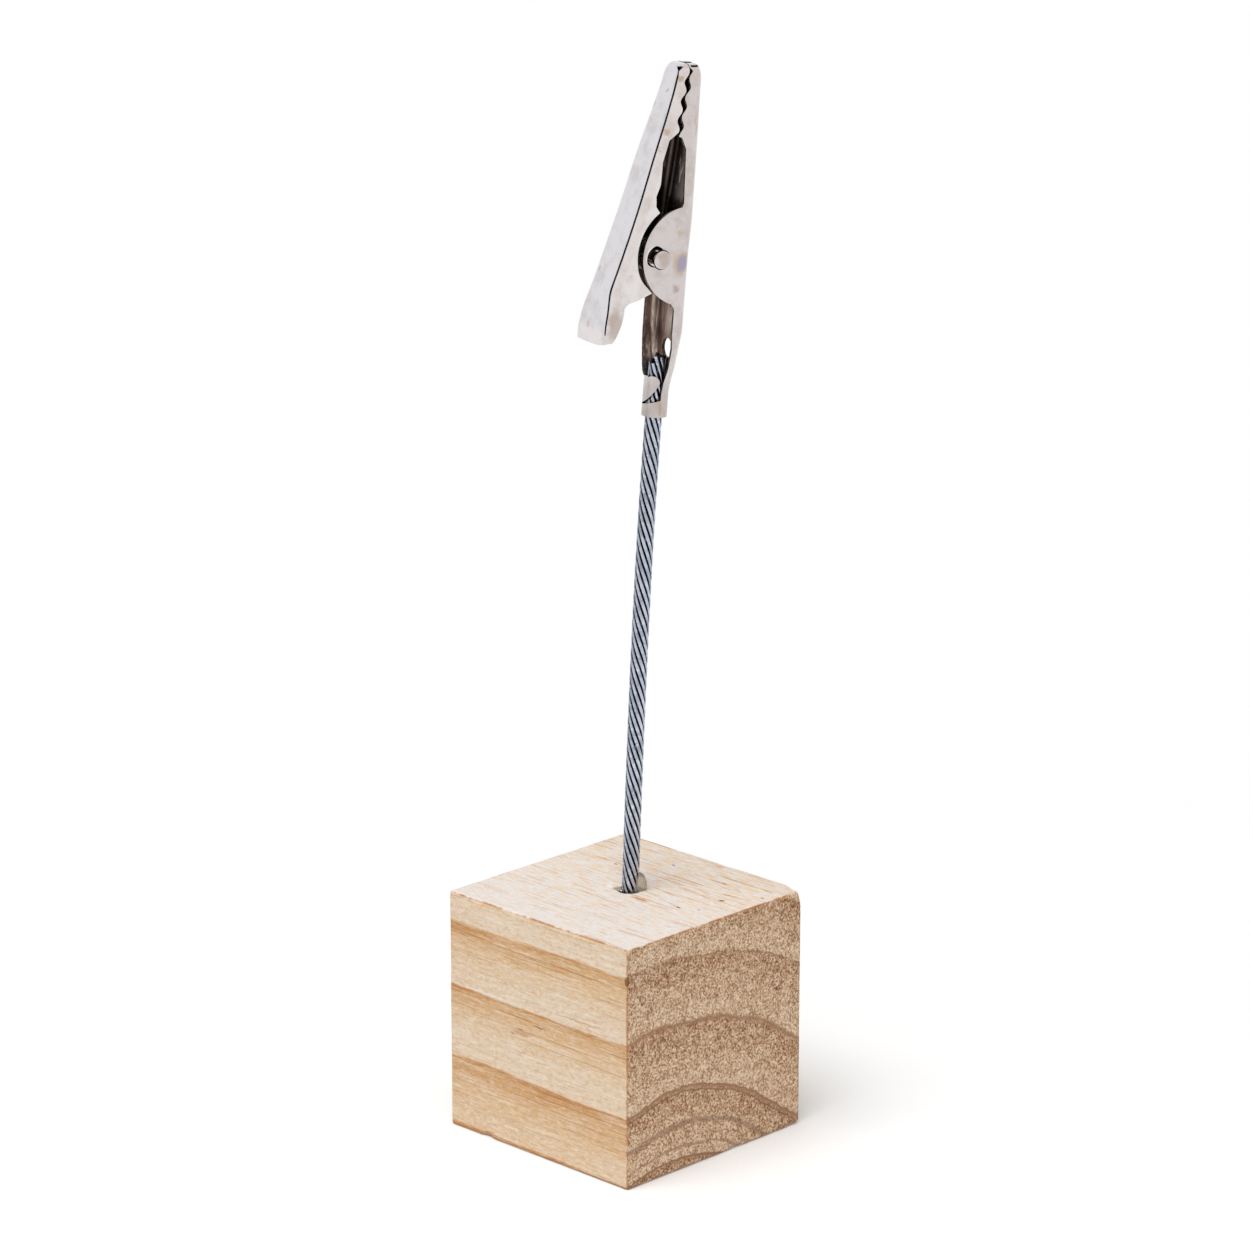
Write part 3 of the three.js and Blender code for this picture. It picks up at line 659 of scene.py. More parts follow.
block = dict(
    edge=25.0, cuts=96, crowd=0.72, wear=0.3, cornerWear=0.25, cornerReach=2.0, unevenWear=0.06,
    sanded=0.004, chipEdge=0.35, chipFall=0.6, flatUnder=0.05,
    holeX=0.2, holeY=0.28, holeRadius=1.243, holeDepth=12.0, holeSides=48,
    holeHeights=(20.0, 24.2, 24.7, 24.9, 25.05, 25.6), torn=0.1, tornFrom=24.0,
)
blockChips = (  # middle, radius, depth
    ((-9.5, -12.5, 25.0), 0.8, 0.14), ((-8.2, -12.5, 25.0), 0.6, 0.1), ((-4.3, -12.5, 25.0), 0.8, 0.12),
    ((-7.3, -12.5, 0.0), 0.8, 0.26), ((12.5, -12.5, 20.6), 0.6, 0.1),
    ((8.9, 4.5, 25.0), 0.4, 0.18), ((12.5, 12.5, 25.0), 1.6, 0.3), ((12.5, 9.4, 25.0), 0.9, 0.15),
    ((12.5, 3.0, 0.0), 0.8, 0.16), ((-12.5, 5.0, 25.0), 0.7, 0.07), ((2.0, 12.5, 25.0), 0.7, 0.07),
)


def wornPoint(share):  # a point of a cube from -1 to 1, moved onto the worn block, closer near its edges
    half = block["edge"] / 2
    spot = Vector([half * ((1 - block["crowd"]) * v + block["crowd"] * sin(v * pi / 2)) for v in share])
    uneven = noise.noise(spot * 0.45) + 0.6 * noise.noise(spot * 1.7)
    corner = block["cornerWear"] if min(spot.x, spot.y) > half - block["cornerReach"] else 0.0
    wear = block["wear"] + corner + block["unevenWear"] * uneven
    inner = Vector([max(-half + wear, min(half - wear, v)) for v in spot])
    out = spot - inner
    if out.length > 1e-6:
        spot = inner + out.normalized() * wear
    torn = 1.6 * abs(0.02 * noise.noise(spot * 2.8) + 0.012 * noise.noise(spot * 6.1))
    sawn = abs(0.012 * noise.noise(Vector((spot.x * 0.12, spot.y * 2.0, spot.z * 2.0))))
    onEnd = abs(share.x) > 0.999
    spot -= spot.normalized() * ((torn if onEnd else sawn) + block["sanded"])
    spot.z += half
    for middle, radius, depth in blockChips:
        ragged = radius * (1 + block["chipEdge"] * noise.noise(spot * 2.3))
        near = 1 - (spot - Vector(middle)).length / ragged
        if near > 0:
            spot -= (spot - Vector((0, 0, half))).normalized() * depth * near ** block["chipFall"]
    return spot


def holeDrill():
    shape = bmesh.new()
    rings = []
    for height in (block["edge"] - block["holeDepth"], *block["holeHeights"]):
        ring = []
        for a in turnAngles(block["holeSides"]):
            ragged = 0.4 + noise.noise(Vector((cos(a) * 2, sin(a) * 2, height)))
            r = block["holeRadius"] + block["torn"] * max(0.0, height - block["tornFrom"]) * ragged
            ring.append(shape.verts.new((block["holeX"] + r * cos(a), block["holeY"] + r * sin(a), height)))
        rings.append(ring)
    ringFaces(shape, rings)
    shape.faces.new(rings[0][::-1])
    shape.faces.new(rings[-1])
    bmesh.ops.scale(shape, vec=(mm,) * 3, verts=shape.verts)
    return newPiece("holeDrill", shape)


def pineBlock():
    shape = bmesh.new()
    bmesh.ops.create_cube(shape, size=2)
    bmesh.ops.subdivide_edges(shape, edges=shape.edges[:], cuts=block["cuts"], use_grid_fill=True)
    for vert in shape.verts:
        vert.co = wornPoint(vert.co)
    lowest = min(vert.co.z for vert in shape.verts)
    for vert in shape.verts:  # stands flat on the floor
        vert.co.z = max(0.0, vert.co.z if vert.co.z > block["flatUnder"] else vert.co.z - lowest)
    bmesh.ops.scale(shape, vec=(mm,) * 3, verts=shape.verts)
    piece = newPiece("pineBlock", shape, pine)
    drill = holeDrill()
    addModifier(piece, "BOOLEAN", operation="DIFFERENCE", solver="EXACT", object=drill)
    makePlain(piece)
    bpy.data.objects.remove(drill)
    shadeSmooth(piece, sharpFrom=38)
    standFor(piece, "base", "pine", "pine_block")


pineBlock()


# Strand: nine wires laid left-handed round three, bowed between the block and the crimp

strand = dict(
    wireRadius=0.2, lay=12.7, footX=0.2, footY=0.4, footZ=25.0, footSlope=0.036, bottom=13.1,
    seatX=-2.107, crimpFoot=-16.05, wireEnd=-9.9, step=0.3, sides=12, lowTurn=-135.0, lowDrop=0.8,
)
strandLayers = (  # piece, nodes, wires, ring radius, first wire in steps, end drop in wire radii, skip
    ("outerWires", "outer_wire", 9, 0.663, 0.5, 0.25, 4.0),
    ("coreWires", "core_wire", 3, 0.251, 0.0, 1.0, 1.0),
)


def hermite(t, span, start, startSlope, end, endSlope):
    value = (2 * t ** 3 - 3 * t * t + 1) * start + (t ** 3 - 2 * t * t + t) * span * startSlope
    return value + (3 * t * t - 2 * t ** 3) * end + (t ** 3 - t * t) * span * endSlope


def strandAxis(z):
    foot = Vector((strand["footX"], strand["footY"], strand["footZ"]))
    seat = clipPoint(strand["seatX"], 0, strand["crimpFoot"])
    bow = Vector((-levelWay.x, -levelWay.y, 0)).normalized()
    reach = hypot(seat.x - foot.x, seat.y - foot.y)
    rise = z - foot.z
    span = seat.z - foot.z
    slope = strand["footSlope"]
    if rise <= 0:
        aside = slope * (rise + rise * rise / (2 * block["holeDepth"]))
    elif rise < span:
        aside = hermite(rise / span, span, 0.0, slope, reach, tan(clipLean))
    else:
        aside = reach + (rise - span) * tan(clipLean)
    return Vector((foot.x, foot.y, z)) + bow * aside


def layTree():  # copies the axis once per wire, lays the copies round it and cuts their ends unevenly
    lengths = ("Ring Radius", "Lay", "Bottom", "Top", "End Drop", "Low Drop")
    inputs = [(name, "Float") for name in (*lengths, "First Share", "Drop Skip", "Low Turn")]
    tree, sockets, given, line = newTree("layWires", [("Count", "Int")] + inputs)
    feed = {"Geometry": line, "Amount": given["Count"]}
    copies = addNode(tree, "GeometryNodeDuplicateElements", feed, domain="SPLINE").outputs
    number = copies["Duplicate Index"]
    height = parts(tree, addNode(tree, "GeometryNodeInputPosition").outputs[0])[2]
    share = calc(tree, "DIVIDE", calc(tree, "ADD", number, given["First Share"]), given["Count"])

    def bearingAt(z):
        turns = calc(tree, "DIVIDE", calc(tree, "SUBTRACT", z, given["Bottom"]), given["Lay"])
        return times(tree, calc(tree, "SUBTRACT", share, turns), 2 * pi)

    bearing = bearingAt(height)
    away = joined(tree, calc(tree, "COSINE", bearing), calc(tree, "SINE", bearing))
    feed = {"Geometry": copies[0], "Offset": scaled(tree, away, given["Ring Radius"])}
    laid = addNode(tree, "GeometryNodeSetPosition", feed).outputs[0]
    skipped = calc(tree, "MODULO", times(tree, number, given["Drop Skip"]), given["Count"])
    lowSide = calc(tree, "COSINE", calc(tree, "SUBTRACT", bearingAt(given["Top"]), given["Low Turn"]))
    slant = times(tree, calc(tree, "POWER", calc(tree, "MAXIMUM", lowSide, 0.0), 2.0), given["Low Drop"])
    drop = linear(tree, skipped, given["End Drop"], slant)
    length = addNode(tree, "GeometryNodeSplineLength").outputs[0]
    ends = {0: laid, 5: calc(tree, "SUBTRACT", length, drop)}
    cut = addNode(tree, "GeometryNodeTrimCurve", ends, mode="LENGTH").outputs[0]
    along = calc(tree, "DIVIDE", addNode(tree, "GeometryNodeSplineParameter").outputs["Length"], mm)
    cut = keepValue(tree, cut, "wireNumber", number)
    cut = keepValue(tree, cut, "along", along)
    cut = keepValue(tree, cut, "away", away, "FLOAT_VECTOR")
    wires = sweepWire(tree, given, cut)
    feed = {"Name": "away"}
    kept = addNode(tree, "GeometryNodeInputNamedAttribute", feed, data_type="FLOAT_VECTOR").outputs[0]
    normal = addNode(tree, "GeometryNodeInputNormal").outputs[0]
    wires = keepValue(tree, wires, "outward", vector(tree, "DOT_PRODUCT", normal, kept))
    closeTree(tree, given, wires)
    return tree, sockets


def strandWires():
    tree, sockets = layTree()
    bottom, radius = strand["bottom"], strand["wireRadius"]
    top = clipPoint(strand["seatX"], 0, strand["wireEnd"]).z
    steps = round((top - bottom) / strand["step"])
    points = [strandAxis(bottom + (top - bottom) * i / steps) * mm for i in range(steps + 1)]
    for name, node, count, ring, firstShare, endDrop, dropSkip in strandLayers:
        values = {
            "Count": count, "Ring Radius": ring * mm, "First Share": firstShare, "Lay": strand["lay"] * mm,
            "Bottom": bottom * mm, "Top": top * mm, "End Drop": endDrop * radius * mm,
            "Drop Skip": dropSkip, "Low Turn": radians(strand["lowTurn"]), "Low Drop": strand["lowDrop"] * mm,
            "Wire Radius": radius * mm, "Sides": strand["sides"], "Material": galvanised,
        }
        piece = sweptPiece(name, points, tree, sockets, values)
        standFor(piece, "base", "galvanised_wire", *[f"{node}_{i + 1}" for i in range(count)])


strandWires()


# Glue: fills the hole round the strand and stands as a lump against its right side

glue = dict(
    radius=1.2, bottom=13.03, level=24.35, voxel=0.09, woodTop=25.02, sides=40, ballCuts=4, easing=6,
)
glueLumps = (  # middle and half sizes
    ((0.87, 1.07, 25.45), (0.72, 0.72, 1.35)), ((0.95, 0.75, 25.1), (0.6, 0.6, 0.8)),
    ((0.2, 0.4, 24.4), (1.1, 1.1, 0.5)), ((-0.9, -0.3, 24.95), (0.5, 0.45, 0.22)),
)


def gluePlug():
    radius, level, bottom = glue["radius"], glue["level"], glue["bottom"]
    middle = Vector((block["holeX"], block["holeY"], (level + bottom) / 2))
    shape = bmesh.new()
    plug = addRod(shape, radius, level - bottom, glue["sides"])
    bmesh.ops.translate(shape, vec=middle, verts=plug)
    for spot, sizes in glueLumps:
        ball = bmesh.ops.create_icosphere(shape, subdivisions=glue["ballCuts"], radius=1)["verts"]
        setForm(shape, ball, sizes, spot)
    piece = newPiece("gluePlug", shape, driedGlue)
    addModifier(piece, "REMESH", mode="VOXEL", voxel_size=glue["voxel"])
    addModifier(piece, "SMOOTH", iterations=glue["easing"])
    makePlain(piece)
    for vert in piece.data.vertices:  # stays inside the hole's wall, and on top of the wood round it
        away = Vector((vert.co.x - block["holeX"], vert.co.y - block["holeY"]))
        if away.length > radius and vert.co.z < glue["woodTop"]:
            if vert.co.z > level:
                vert.co.z = glue["woodTop"]
            else:
                away = away.normalized() * radius
                vert.co.x = block["holeX"] + away.x
                vert.co.y = block["holeY"] + away.y
    piece.data.transform(Matrix.Scale(mm, 4))
    piece.data.materials.clear()
    piece.data.materials.append(driedGlue)
    piece.data.shade_smooth()
    standFor(piece, "base", "glue", "glue_plug")


gluePlug()


# Jaws: pressed sheet, drawn as its outer face and then thickened inwards

jaws = dict(
    sheet=0.32, bend=1.1, split=6.6, arcSteps=9, spineSteps=8, wallSteps=8, gridStep=0.42, edgeStep=0.2,
    ringStep=0.3, noseStep=0.2, toothStep=0.07, curlStep=3, edgeBevel=0.05, bevelFrom=50, leastFlat=0.04,
    toothLead=1.2, toothFirst=12.14, toothPitch=1.855, toothCount=4, toothDepth=0.36, toothShift=0.3,
    toothGap=0.18, partX=-1.29, partSlope=-0.105, partCurve=-0.0095,
)
lastTooth = jaws["toothFirst"] + jaws["toothPitch"] * (jaws["toothCount"] - 1)
pinForm = dict(radius=0.92, halfLength=3.45, corner=0.2, crown=0.1, sides=48, steps=5)


def smoothCurve(knots, values):  # monotone cubic, so a station never overshoots
    spans = [b - a for a, b in zip(knots, knots[1:])]
    slopes = [(b - a) / span for a, b, span in zip(values, values[1:], spans)]
    tangents = [slopes[0]]
    for i in range(1, len(slopes)):
        before, after = slopes[i - 1], slopes[i]
        heavy = 2 * spans[i] + spans[i - 1]
        light = spans[i] + 2 * spans[i - 1]
        flat = before * after <= 0
        tangents.append(0.0 if flat else (heavy + light) / (heavy / before + light / after))
    tangents.append(slopes[-1])

    def at(x):
        i = 0
        while i < len(spans) - 1 and x > knots[i + 1]:
            i += 1
        t = (x - knots[i]) / spans[i]
        return hermite(t, spans[i], values[i], tangents[i], values[i + 1], tangents[i + 1])

    return at


def chainAt(points, z):  # x of a chain of points, listed from low z to high
    for (x0, z0), (x1, z1) in zip(points, points[1:]):
        if z <= z1:
            return x0 + (x1 - x0) * (z - z0) / (z1 - z0)
    return points[-1][0]


def partingX(z):
    rise = z - jaws["toothFirst"]
    return jaws["partX"] + jaws["partSlope"] * rise + jaws["partCurve"] * rise * rise


def toothX(z, side):  # rounded teeth, the two rows slipped past each other
    turn = 2 * pi / jaws["toothPitch"]
    wave = (1 - cos(turn * (z - jaws["toothFirst"] - side * jaws["toothShift"]))) / 2
    close = jaws["toothDepth"] * (1 - cos(turn * jaws["toothShift"])) / 4
    return partingX(z) + side * (jaws["toothGap"] / 2 + jaws["toothDepth"] * wave - close)


def mirrored(points):
    return [Vector((p.x, -p.y, p.z)) for p in reversed(points)]


class Channel:
    def __init__(self, way, form, stations, lip):
        heights = [station[0] for station in stations]
        self.way = way
        self.form = form
        self.lip = lip
        self.backLine, self.halfLine, self.roundLine = (
            smoothCurve(heights, [station[i] for station in stations]) for i in (1, 2, 3)
        )

    def curl(self, z):  # share of the nose's rounding reached at a height
        rise = self.form["curlRise"]
        u = clamp((z - self.form["noseTop"] + rise) / rise)
        return 1 - sqrt(1 - u * u)

    def back(self, z):
        return self.backLine(z) + self.way * self.form["curlBack"] * self.curl(z)

    def half(self, z):
        return self.halfLine(z) - self.form["curlHalf"] * self.curl(z)

    def corner(self, z):  # outer bend radius, less where the nose gets narrow
        tight = self.roundLine(z) - self.form["curlCorner"] * self.curl(z)
        return min(tight, self.half(z) - jaws["leastFlat"])

    def bendLine(self, z):
        return self.back(z) + self.way * self.corner(z)

    # spine and both bends at one height, from near wall to far wall, cut back to the lip if that is nearer
    def spine(self, z, trimmed):
        back, half, corner = self.back(z), self.half(z), self.corner(z)
        start = 0.0
        if trimmed and self.way * (self.lip(z) - back) < corner:
            start = asin(max(-1.0, min(1.0, 1 - self.way * (self.lip(z) - back) / corner)))
        near = []
        for i in range(jaws["arcSteps"] + 1):
            a = start + (pi / 2 - start) * i / jaws["arcSteps"]
            near.append(Vector((back + self.way * corner * (1 - sin(a)), half - corner * (1 - cos(a)), z)))
        flat = half - corner
        steps = jaws["spineSteps"]
        across = [Vector((back, flat - 2 * flat * i / steps, z)) for i in range(1, steps)]
        return near + across + mirrored(near)

    # the whole section from lip to lip
    def section(self, z):
        middle = self.spine(z, True)
        first = middle[0]
        past = self.way * (self.lip(z) - self.bendLine(z)) > 0
        reach = self.lip(z) - first.x if past else 0.0
        steps = jaws["wallSteps"]
        near = [Vector((first.x + reach * (1 - i / steps), first.y, z)) for i in range(steps)]
        return near + middle + mirrored(near)

    # the wall's outline along the bend and across at the split, as x and z
    def wallStart(self, rows):
        z = jaws["split"]
        bend, lip = self.bendLine(z), self.lip(z)
        steps = jaws["wallSteps"]
        outline = [(self.bendLine(row), row) for row in rows]
        return outline + [(bend + (lip - bend) * i / steps, z) for i in range(1, steps + 1)]


def stripFaces(shape, rows):
    made = [[shape.verts.new(p) for p in row] for row in rows]
    for lower, upper in zip(made, made[1:]):
        for i in range(len(lower) - 1):
            shape.faces.new((lower[i], lower[i + 1], upper[i + 1], upper[i]))
    return made


def inside(point, loop):
    x, z = point
    odd = False
    for (x0, z0), (x1, z1) in zip(loop, loop[1:] + loop[:1]):
        if (z0 > z) != (z1 > z) and x < x0 + (x1 - x0) * (z - z0) / (z1 - z0):
            odd = not odd
    return odd


def nearLoop(point, loop, distance):
    x, z = point
    for (x0, z0), (x1, z1) in zip(loop, loop[1:] + loop[:1]):
        dx, dz = x1 - x0, z1 - z0
        t = clamp(((x - x0) * dx + (z - z0) * dz) / max(dx * dx + dz * dz, 1e-12))
        if hypot(x - x0 - t * dx, z - z0 - t * dz) < distance:
            return True
    return False


def wallFaces(shape, loop, hole, halfAt, side):  # triangles inside the outline and outside the hole
    points = []
    edges = []
    for chain in (loop, hole):
        first = len(points)
        points += [Vector(p) for p in chain]
        edges += [(first + i, first + (i + 1) % len(chain)) for i in range(len(chain))]
    step = jaws["gridStep"]
    low = [min(p[i] for p in loop) for i in (0, 1)]
    high = [max(p[i] for p in loop) for i in (0, 1)]
    for i in range(1, int((high[0] - low[0]) / step) + 1):
        for j in range(1, int((high[1] - low[1]) / step) + 1):
            spot = (low[0] + step * (i - 0.5 * (j % 2)), low[1] + step * j)
            onWall = inside(spot, loop) and not inside(spot, hole)
            if onWall and not any(nearLoop(spot, chain, step * 0.5) for chain in (loop, hole)):
                points.append(Vector(spot))
    places, _, triangles, *_ = delaunay_2d_cdt(points, edges, [], 0, 1e-6)
    verts = [shape.verts.new((p.x, side * halfAt(p.y), p.y)) for p in places]
    for triangle in triangles:
        centre = sum((places[i] for i in triangle), Vector((0, 0))) / len(triangle)
        if inside(centre, loop) and not inside(centre, hole):
            shape.faces.new([verts[i] for i in triangle])


def arc(x, z, radius, fromAngle, toAngle, step=4.0):
    count = max(2, round(abs(toAngle - fromAngle) / step))
    angles = [radians(fromAngle + (toAngle - fromAngle) * i / count) for i in range(count + 1)]
    return [(x + radius * cos(a), z + radius * sin(a)) for a in angles]


def bezier(points, count):
    made = []
    for i in range(1, count + 1):
        t = i / count
        weights = ((1 - t) ** 3, 3 * t * (1 - t) ** 2, 3 * t * t * (1 - t), t ** 3)
        made.append(tuple(sum(w * p[k] for w, p in zip(weights, points)) for k in (0, 1)))
    return made


def spread(points):  # points along a chain after its first one, close enough to bend with the wall
    made = []
    for (x0, z0), (x1, z1) in zip(points, points[1:]):
        count = max(1, round(hypot(x1 - x0, z1 - z0) / jaws["edgeStep"]))
        made += [(x0 + (x1 - x0) * i / count, z0 + (z1 - z0) * i / count) for i in range(1, count + 1)]
    return made


def heightRows(low, high, step):
    count = max(1, round((high - low) / step))
    return [low + (high - low) * i / count for i in range(count + 1)]


def noseRows(channel):
    rise = channel.form["curlRise"]
    shoulder = channel.form["noseTop"] - rise
    toothLow = jaws["toothFirst"] - jaws["toothLead"]
    rows = heightRows(jaws["split"], toothLow, jaws["noseStep"])
    rows += heightRows(toothLow, shoulder, jaws["toothStep"])[1:]
    turns = range(jaws["curlStep"], 91, jaws["curlStep"])
    return rows + [shoulder + rise * sin(radians(turn)) for turn in turns]


# lower spine, upper jaw up to the shut nose; the walls below the split come from their outlines
def channelSheet(shape, channel, low):
    rows = heightRows(low, jaws["split"], jaws["ringStep"])
    stripFaces(shape, [channel.spine(z, False) for z in rows])
    top = stripFaces(shape, [channel.section(z) for z in noseRows(channel)])[-1]
    count = len(top)
    for i in range(count // 2 - 1):
        shape.faces.new((top[i], top[i + 1], top[count - 2 - i], top[count - 1 - i]))
    return rows


def thicken(name, shape, channel, plated, cutter, body, node):
    bmesh.ops.remove_doubles(shape, verts=shape.verts, dist=2e-4)
    bmesh.ops.dissolve_degenerate(shape, edges=shape.edges, dist=1e-4)
    bmesh.ops.recalc_face_normals(shape, faces=shape.faces)
    outward = sum(face.normal.x * face.calc_area() for face in shape.faces) * -channel.way
    if outward < 0:
        bmesh.ops.reverse_faces(shape, faces=shape.faces)
    for face in cutter.faces:  # cut walls get the edges' painted shade
        face.material_index = 2
    piece = newPiece(name, shape, plated, nickelInsideShade, nickelEdgeShade)
    tool = newPiece(name + "Cutter", cutter, plated, nickelInsideShade, nickelEdgeShade)
    addModifier(
        piece, "SOLIDIFY", thickness=jaws["sheet"], offset=-1, material_offset=1, material_offset_rim=2,
        use_even_offset=True, use_quality_normals=True,
    )
    addModifier(piece, "BOOLEAN", operation="DIFFERENCE", solver="EXACT", use_self=True, object=tool)
    addModifier(
        piece, "BEVEL", width=jaws["edgeBevel"], segments=2, limit_method="ANGLE",
        angle_limit=radians(jaws["bevelFrom"]), use_clamp_overlap=True,
    )
    makePlain(piece)
    piece.data.transform(clipMatrix)
    shadeSmooth(piece, sharpFrom=40)
    bpy.data.objects.remove(tool)
    standFor(piece, body, "nickel", node)


# Fixed jaw: toothed channel, round ears, low tail walls and the crimp round the strand

fixedForm = dict(
    earHalf=3.0, tailBack=-3.32, noseBack=-3.88, noseHalf=1.95, noseTop=18.62, wallTop=-1.8, wallFoot=-7.4,
    earX=-2.89, earZ=0.25, earRadius=4.89, earFrom=79, earEase=4, crimpRadius=1.213, foot=-16.05,
    curlRise=1.5, curlBack=0.55, curlHalf=1.15, curlCorner=0.65, holePlay=0.08, holeSides=56,
    wearX=0.7, wearZ=0.3, wearRadius=1.05, tailHoleZ=-9.33, tailHoleRadius=0.98, tailHoleDepth=2.0,
    tailHoleSides=40,
)
fixedLipRows = ((-1.96, 5.05), (-2.1, 5.5), (-2.12, 10.6), (-1.62, 11.75))  # x and z
noseSlits = (  # middle and sizes of the gaps between the flaps folded over the fixed nose
    ((-3.1, 1.6, 18.45), (1.15, 1.4, 0.16)), ((-3.1, -1.6, 18.45), (1.15, 1.4, 0.16)),
    ((-3.0, 0.05, 18.5), (1.1, 0.7, 0.7)),
)
crimp = dict(
    seat=fixedForm["tailBack"] + fixedForm["crimpRadius"], rows=14,
    tabLow=-14.75, tabSweep=2.05, tabHigh=-12.9, tabRise=0.8, tabLift=0.25, tabRound=0.85,
    tabFrom=-28, tabSpan=107, riseSpan=45, bandHigh=-15.1, bandSweep=0.45, bandFrom=-84, bandSpan=196,
    bandCorner=0.25, shutFrom=-20, shutSpan=25, shutHigh=-14.78,
)
nearTail = [(-2.15, -9.0), (-2.2, -11.0), (crimp["seat"], -12.6)]
farTail = [(-1.6, -9.0), (-1.42, -11.9), (-1.5, -12.3)]


def fixedStations():  # height, back, half width, bend radius
    form = fixedForm
    radius, tail, nose, half = form["crimpRadius"], form["tailBack"], form["noseBack"], form["noseHalf"]
    ear, bend = form["earHalf"], jaws["bend"]
    return [
        (form["foot"], tail, radius, radius - 0.15), (-13.8, tail, radius, radius - 0.15),
        (-12.9, tail, radius + 0.18, bend), (-11.0, tail, ear - 0.95, bend), (-9.2, tail, ear - 0.5, bend),
        (-7.0, tail, ear, bend), (0.0, tail, ear, bend), (3.0, tail - 0.11, ear, bend),
        (7.0, tail - 0.28, ear - 0.32, bend), (11.0, nose + 0.13, half + 0.4, bend),
        (form["noseTop"] - 0.9, nose, half, bend), (form["noseTop"], nose - 0.01, half, bend),
    ]


def fixedLip(z):
    if z < fixedLipRows[-1][1]:
        return chainAt(fixedLipRows, z)
    if z < lastTooth:
        return toothX(z, -1)
    tip = fixedForm["noseTop"]
    hook = [(-2.62, lastTooth + 0.35), (-2.34, tip - 0.25), (-2.4, tip)]
    return chainAt([(toothX(lastTooth, -1), lastTooth)] + hook, z)


def upperTabEdges(bearing):  # a lobe laid over from the far wall, rounded at its end
    s = clamp((bearing - crimp["tabFrom"]) / crimp["tabSpan"])
    risen = min(1.0, (bearing + 90) / crimp["riseSpan"])
    high = crimp["tabHigh"] + crimp["tabRise"] * risen * (2 - risen) + crimp["tabLift"] * s
    return crimp["tabLow"] + crimp["tabSweep"] * s * s, high - crimp["tabRound"] * (1 - sqrt(1 - s ** 6))


def lowerBandEdges(bearing):  # a band from the near wall that closes up to the tab on the far side
    t = (bearing - crimp["bandFrom"]) / crimp["bandSpan"]
    shut = clamp((crimp["shutFrom"] - bearing) / crimp["shutSpan"])
    high = crimp["bandHigh"] + crimp["bandSweep"] * t + crimp["bandSweep"] * t * t
    low = fixedForm["foot"] + crimp["bandCorner"] * max(0.0, 1 - 4 * t)
    return low, high + shut * (crimp["shutHigh"] - high)


def crimpTab(shape, bearings, edgesAt):
    radius = fixedForm["crimpRadius"]
    grid = []
    for bearing in bearings:
        x, y = crimp["seat"] + radius * cos(radians(bearing)), radius * sin(radians(bearing))
        low, high = edgesAt(bearing)
        heights = [low + (high - low) * i / crimp["rows"] for i in range(crimp["rows"] + 1)]
        grid.append([Vector((x, y, z)) for z in heights])
    stripFaces(shape, grid)


def crimpSide(edges):  # a tab's root on the wall, from its upper edge down
    low, high = edges
    return [(crimp["seat"], high - (high - low) * i / crimp["rows"]) for i in range(crimp["rows"] + 1)]


def fixedWall(channel, rows, tail):
    form = fixedForm
    top = form["wallTop"]
    aside = top - form["earX"]
    earTo = -degrees(atan2(sqrt(form["earRadius"] ** 2 - aside ** 2), aside)) + form["earEase"]
    ear = arc(form["earX"], form["earZ"], form["earRadius"], form["earFrom"], earTo)
    x, z = ear[-1]
    eased = bezier([(x, z), (x + 0.12, z - 0.1), (top, z - 0.3), (top, z - 0.6)], 5)
    loop = channel.wallStart(rows)
    loop += spread([loop[-1], fixedLipRows[1], ear[0]]) + ear[1:] + eased
    return loop + spread([eased[-1], (top, form["wallFoot"])] + tail)


def wornHole():  # the pin's hole joined to the wear beside it
    form = fixedForm
    middleX, middleZ = form["wearX"] / 2, form["wearZ"] / 2
    rounds = (
        (0, 0, pinForm["radius"] + form["holePlay"]), (form["wearX"], form["wearZ"], form["wearRadius"]),
    )
    hole = []
    for a in turnAngles(form["holeSides"]):
        reach = 0.0
        for x, z, r in rounds:
            dx, dz = middleX - x, middleZ - z
            along = dx * cos(a) + dz * sin(a)
            reach = max(reach, -along + sqrt(max(0.0, r * r - dx * dx - dz * dz + along * along)))
        hole.append((middleX + reach * cos(a), middleZ + reach * sin(a)))
    return hole


def fixedCutter():  # the tail's hole and the slits in the nose
    form = fixedForm
    shape = bmesh.new()
    rod = addRod(shape, form["tailHoleRadius"], form["tailHoleDepth"], form["tailHoleSides"])
    bmesh.ops.rotate(shape, matrix=Matrix.Rotation(pi / 2, 3, "Y"), verts=rod)
    bmesh.ops.translate(shape, vec=(form["tailBack"], 0, form["tailHoleZ"]), verts=rod)
    for middle, sizes in noseSlits:
        setForm(shape, bmesh.ops.create_cube(shape, size=1)["verts"], sizes, middle)
    return shape


def fixedJaw():
    shape = bmesh.new()
    channel = Channel(1, fixedForm, fixedStations(), fixedLip)
    rows = channelSheet(shape, channel, fixedForm["foot"])
    near = nearTail + crimpSide(lowerBandEdges(90))
    far = farTail + crimpSide(upperTabEdges(-90)) + [(crimp["seat"], fixedForm["foot"])]
    hole = wornHole()
    wallFaces(shape, fixedWall(channel, rows, near), hole, channel.half, 1)
    wallFaces(shape, fixedWall(channel, rows, far), hole, channel.half, -1)
    crimpTab(shape, range(90, -85, -6), lowerBandEdges)
    crimpTab(shape, [*range(-90, 71, 5), 74, 77, 78.5, 79], upperTabEdges)
    thicken("fixedJaw", shape, channel, nickelFixed, fixedCutter(), "base", "fixed_jaw")


fixedJaw()


# Moving jaw: toothed channel with a thumb handle; its ears nest inside the fixed jaw's

